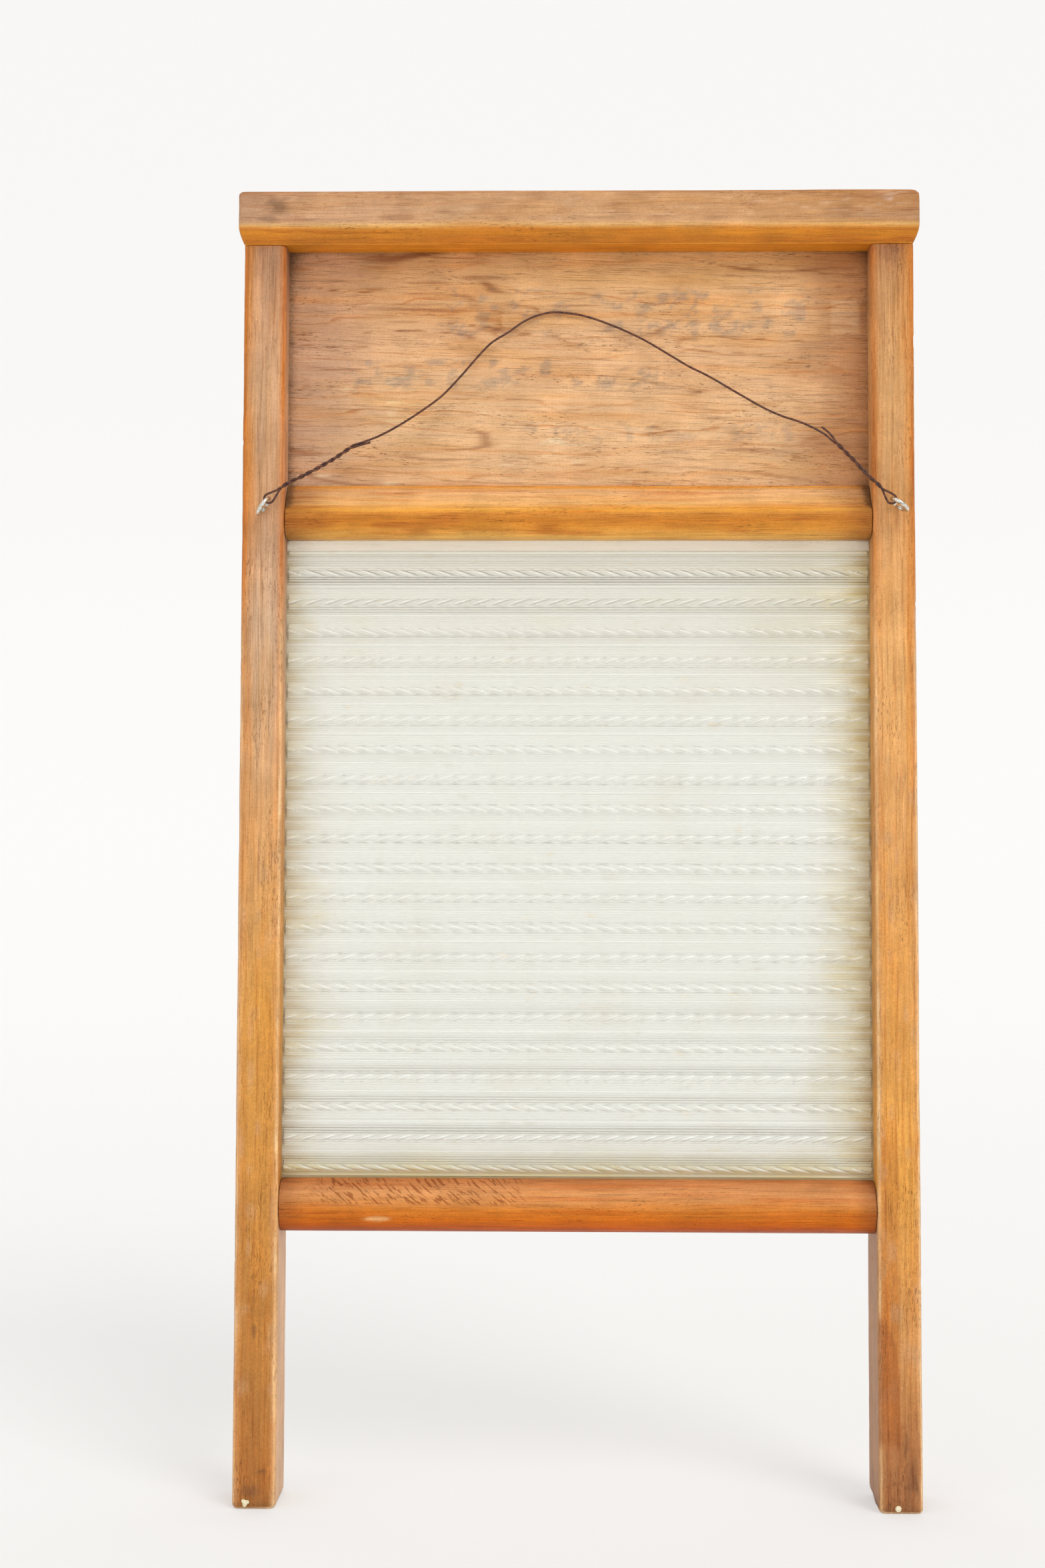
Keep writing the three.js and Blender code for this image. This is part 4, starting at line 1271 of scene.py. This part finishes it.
def glass_material():
    s = Shader("ribbed_glass")
    out = s.math("ABSOLUTE", s.x)
    wisp = s.stretched((30, 9, 1.0), 4.0, 0.6)
    cloud = s.stretched((30, 20, 26), 3.0, 0.55)
    grain = s.stretched((1.3, 1.3, 0.8), 4.0, 0.7)
    # dirt at the sides and the foot, in clouds and wisps; the head darkens towards the middle rail,
    # painted shade
    swing = cloud - 0.5
    spread = s.ramp(s.x, 0, 60) * (6 + s.ramp(s.z, 330, 200) * 6)
    sides = s.math("POWER", s.ramp(out + spread + swing * 36, 108, 150), 1.3) * 0.84
    foot = s.math("POWER", s.ramp(s.z + swing * 18, 172, 147), 2.0)
    head = s.ramp(s.z, 434, 450) * 0.25 + s.ramp(s.z, 340, 440) * 0.16
    edges = s.highest(sides, foot, head)
    film = s.ramp(cloud + (wisp - 0.5) * 0.6, 0.5, 0.85) * 0.16
    corner = s.ramp(s.x, 50, 120) * s.ramp(s.z, 330, 420) * 0.2
    dirt = s.math("MINIMUM", edges * (0.4 + wisp * 0.9) + film + corner, 1.0)
    stain = s.ramp(s.stretched((12, 9, 9), shift=40.0), 0.64, 0.74) * s.ramp(wisp, 0.4, 0.62)
    spot = s.ramp(s.stretched((2.0, 2.0, 1.6), 1.0, 0.4, 90.0), 0.84, 0.87)
    brown = s.ramp(grain, 0.62, 0.74) * (edges * 0.8)
    # painted shade: dark lines in the flutes, most under the top ropes and over the bottom ones, and
    # strokes in the cuts
    valley, flute, cut = s.stored("valley"), s.stored("flute"), s.stored("cut")
    under = s.ramp(valley, 0.05, 0.5) * s.ramp(s.z, 392, 432) * (s.ramp(s.z, 435, 433) * 1.35)
    over = s.ramp(valley, -0.05, -0.5) * s.ramp(s.z, 260, 155)
    band = s.ramp(s.z, 433, 434) * 0.4
    where = s.highest(under, over, band) + 0.16
    lines = s.ramp(flute, 0.55, 0.98) * (where * (0.35 + wisp * 0.8))
    high_up, low_down = s.ramp(s.z, 396, 430), s.ramp(s.z, 200, 150)
    shade_strokes = s.ramp(cut, 0.3, 0.95) * (0.06 + (high_up * 0.7 + low_down * 0.4))
    painted_shade_lines = s.math("MINIMUM", lines + shade_strokes, 0.8)
    # painted highlights on the ropes' strands and on the crease beside them
    rim = s.highest(high_up, low_down, s.ramp(out, 60, 135))
    strand_highlight = s.ramp(s.stored("lit"), 0.35, 0.95) * (0.16 + (wisp * 0.6 + rim * 0.34))
    crease_highlight = s.ramp(s.math("ABSOLUTE", valley - 0.12), 0.07, 0.02) * 0.8
    painted_highlights = s.highest(strand_highlight, crease_highlight * (0.4 + wisp * 0.8))
    top_band = s.ramp(s.z, BAND["flute_edge"], BAND["flute_edge"] + 0.7)
    colour = s.mix(dirt, linear(253, 253, 246), linear(221, 203, 142))
    for amount, tone in ((stain * 0.45, (226, 200, 146)), (brown * 0.6, (152, 118, 62)),
                         (spot * 0.7, (176, 128, 76)), (painted_shade_lines, (138, 126, 108)),
                         (top_band * 0.75, (255, 243, 226)), (painted_highlights, (254, 255, 250))):
        colour = s.mix(amount, colour, linear(*tone))
    s.set(Base_Color=colour, IOR=1.5, Specular_IOR_Level=0.5, Roughness=0.07 + dirt * 0.35)
    solid = s.highest(dirt * 0.85, stain * 0.4, s.highest(brown, spot) * 0.8, painted_shade_lines)
    solid = s.highest(solid, painted_highlights * 0.9)
    s.set(Transmission_Weight=(0.66 + top_band * 0.26) + solid * -0.6)
    s.bump(grain + wisp * 0.6, 0.04, 0.5)
    return s.material


def make_glass():
    rows = glass_rows()
    points, columns, marks = [], [], []
    for row in rows:
        x, straight = row_columns(row)
        depth, *depths = glass_depth(x, row)
        valley = np.full(len(x), 0.0 if row[3] is None or row[3] < 0 else 2 * row[3] - 1)
        marks.append(np.stack([*depths, valley], axis=1))
        columns.append(straight)
        points.append(np.stack([x, -depth, np.full(len(x), row[0])], axis=1))
    ends = itertools.accumulate(len(line) for line in columns)
    numbers = [range(end - len(line), end) for end, line in zip(ends, columns)]
    front = np.vstack(points)
    back = front * (1, -1, 1)
    faces = []
    count = len(front)
    for (low, low_x), (high, high_x) in itertools.pairwise(zip(numbers, columns)):
        strip = zip_rows(low, high, low_x, high_x)
        faces += strip
        faces += [tuple(v + count for v in face[::-1]) for face in strip]
        for a, b, turned in ((low[0], high[0], True), (low[-1], high[-1], False)):
            side = (a, a + count, b + count, b)
            faces.append(side[::-1] if turned else side)
    for line, turned in ((numbers[0], False), (numbers[-1], True)):
        for a, b in itertools.pairwise(line):
            side = (b, a, a + count, b + count)
            faces.append(side[::-1] if turned else side)
    cut, lit, flute, valley = np.tile(np.vstack(marks), (2, 1)).T
    make_piece("ribbed_glass_plate", np.vstack([front, back]), faces, glass_material(),
               ("glass_panel",), "ribbed_glass", sharp_deg=60,
               cut=cut, lit=lit, flute=flute, valley=valley)


make_glass()

# ---- floor, backdrop and light ----

STAGE_WIDTH, STAGE_NEAR, STAGE_TURN, STAGE_RADIUS, STAGE_TOP = 14.0, -7.0, 1.6, 1.2, 6.0  # metres
FLOOR_COLOUR, FLOOR_GLOW = linear(190, 189, 187), 0.4


def make_stage():
    """A pale floor that turns up into a backdrop far behind the board."""
    turn = np.linspace(0, math.pi / 2, 17)
    profile = [(STAGE_NEAR, 0.0)]
    profile += [(STAGE_TURN + STAGE_RADIUS * math.sin(a), STAGE_RADIUS * (1 - math.cos(a)))
                for a in turn]
    profile.append((profile[-1][0], STAGE_TOP))
    points = [(x, y, z) for y, z in profile for x in (-STAGE_WIDTH / 2, STAGE_WIDTH / 2)]
    faces = [(2 * k, 2 * k + 1, 2 * k + 3, 2 * k + 2) for k in range(len(profile) - 1)]
    mesh = bpy.data.meshes.new("pale_floor")
    mesh.from_pydata(points, [], faces)
    mesh.polygons.foreach_set("use_smooth", [True] * len(faces))
    s = Shader("pale_floor")
    paper = s.noise(s.place, 2.0)
    s.set(Base_Color=s.mix(paper * 0.04, FLOOR_COLOUR, FLOOR_COLOUR * 0.9),
          Roughness=0.95, Specular_IOR_Level=0.1, Emission_Color=(1, 1, 1, 1),
          Emission_Strength=FLOOR_GLOW)
    mesh.materials.append(s.material)
    floor = bpy.data.objects.new("pale_floor", mesh)
    bpy.context.collection.objects.link(floor)


WORLD_STRENGTH = 0.74
SUNS = {  # where each soft light comes from, how wide it is in degrees, and its strength
    "key": ((1.0, -1.35, 1.5), 30, 0.95),
    "fill": ((-1.2, -1.6, 0.7), 60, 0.25),
}


def make_light():
    world = bpy.data.worlds.new("pale_room")
    bpy.context.scene.world = world
    world.use_nodes = True
    background = world.node_tree.nodes["Background"]
    background.inputs["Color"].default_value = (1.0, 0.995, 0.985, 1)
    background.inputs["Strength"].default_value = WORLD_STRENGTH
    for name, (place, angle, strength) in SUNS.items():
        light = bpy.data.lights.new(name, "SUN")
        light.energy, light.angle = strength, math.radians(angle)
        lamp = bpy.data.objects.new(name, light)
        lamp.location = place
        lamp.rotation_euler = Vector(place).to_track_quat("Z", "Y").to_euler()
        bpy.context.collection.objects.link(lamp)
    bpy.context.scene.view_settings.view_transform = "Standard"


make_stage()
make_light()
